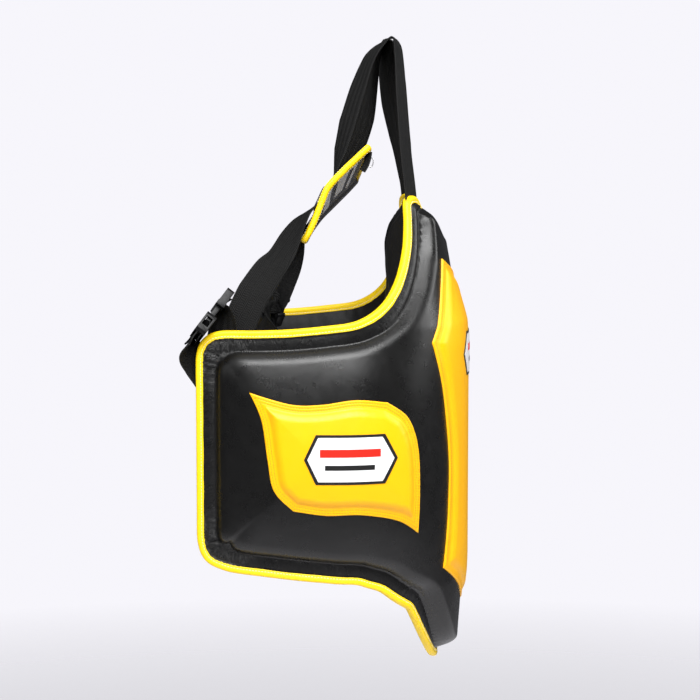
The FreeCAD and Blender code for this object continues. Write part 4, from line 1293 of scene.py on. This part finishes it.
def soft_light(name, azimuth, rise, away, width, height, power):
    data = bpy.data.lights.new(name, "AREA")
    data.shape = "RECTANGLE"
    data.size = width
    data.size_y = height
    data.energy = power
    item = bpy.data.objects.new(name, data)
    bpy.context.scene.collection.objects.link(item)
    towards = direction(azimuth, rise)
    item.location = TARGET + towards * away
    item.rotation_euler = (-towards).to_track_quat("-Z", "Y").to_euler()


def studio():
    soft_light("key", azimuth=273, rise=40, away=2.0, width=1.8, height=1.2, power=88)
    soft_light("overhead", azimuth=215, rise=80, away=2.0, width=1.6, height=1.2, power=6)
    soft_light("front_strip", azimuth=2, rise=26, away=2.2, width=0.8, height=1.8, power=26)
    soft_light("rear_fill", azimuth=205, rise=30, away=2.6, width=1.2, height=1.8, power=5)


def backdrop():
    """Pale floor that fades into a pale surround, which lights the object only dimly."""
    n = Nodes("pale_floor")
    spot = n.add("SeparateXYZ", {0: n.position()})
    radius = n.maths("SQRT", n.maths("ADD", n.maths("MULTIPLY", spot.outputs[0], spot.outputs[0]),
                                     n.maths("MULTIPLY", spot.outputs[1], spot.outputs[1])))
    fade = n.remap(radius, 1.2, 3.6, 1.0, 0.0)
    tint = n.mix(n.noise(n.position(), 2.0), (0.86, 0.85, 0.88), (0.88, 0.87, 0.9))
    n.set(Base_Color=tint, Roughness=0.8, Alpha=fade)
    n.shader.inputs["Emission Color"].default_value = (0.88, 0.86, 0.92, 1)
    n.shader.inputs["Emission Strength"].default_value = 0.2
    corners = [(-4000, -4000), (4000, -4000), (4000, 4000), (-4000, 4000)]
    points = [(x, y, FLOOR_Z / MM) for x, y in corners]
    floor = new_mesh("floor", points, [(0, 1, 2, 3)], n.material, smooth=False)
    world = bpy.data.worlds.new("surround")
    world.use_nodes = True
    tree = world.node_tree
    seen = tree.nodes["Background"]
    seen.inputs["Color"].default_value = (0.93, 0.92, 0.97, 1)
    seen.inputs["Strength"].default_value = 1.0
    dim = tree.nodes.new("ShaderNodeBackground")
    dim.inputs["Color"].default_value = (0.86, 0.87, 0.92, 1)
    dim.inputs["Strength"].default_value = 0.1
    path = tree.nodes.new("ShaderNodeLightPath")
    choice = tree.nodes.new("ShaderNodeMixShader")
    tree.links.new(path.outputs["Is Camera Ray"], choice.inputs[0])
    tree.links.new(dim.outputs[0], choice.inputs[1])
    tree.links.new(seen.outputs[0], choice.inputs[2])
    tree.links.new(choice.outputs[0], tree.nodes["World Output"].inputs["Surface"])
    bpy.context.scene.world = world
    bpy.context.scene.view_settings.view_transform = "Standard"


# ---- the whole object ----
def main():
    camera()
    backdrop()
    studio()
    leaf = Patch((LEAF_TOP, LEAF_FOOT, LEAF_FRONT, LEAF_REAR), count=110, margin=8.5, crown=5.0,
                 shoulder=11.0, rows=(3.0, 6.2))
    shield_sides = (FRONT_TOP, FRONT_BOTTOM, [(-s, z) for s, z in FRONT_SIDE], FRONT_SIDE)
    shield = Patch(shield_sides, count=130, margin=8.0, crown=3.5, shoulder=12.0, rows=(4.5,))
    for side, name in NAMES.items():
        cover_half(side)
        lining_half(side)
        binding_half(side)
        hem_stitches(side)
        nodes = (f"side_patch_{name}", f"side_patch_foam_{name}")
        leaf.piece(f"leaf_patch_{name}", side, SIDES[side], nodes)
        leaf.rows_of_stitches(f"leaf_{name}", side, SIDES[side])
        badge(f"side_badge_{name}_plate", leaf, side, SIDES[side], (CORNER_S - 12, -494), (47, 29),
              f"side_badge_{name}")
    shield.piece("shield_patch", 1, "front", ("front_patch", "front_patch_foam"))
    shield.rows_of_stitches("shield", 1, "front")
    badge("front_badge_plate", shield, 1, "front", (0, -385), (62, 27), "front_badge")
    harness()
    yoke()
    buckles()


main()
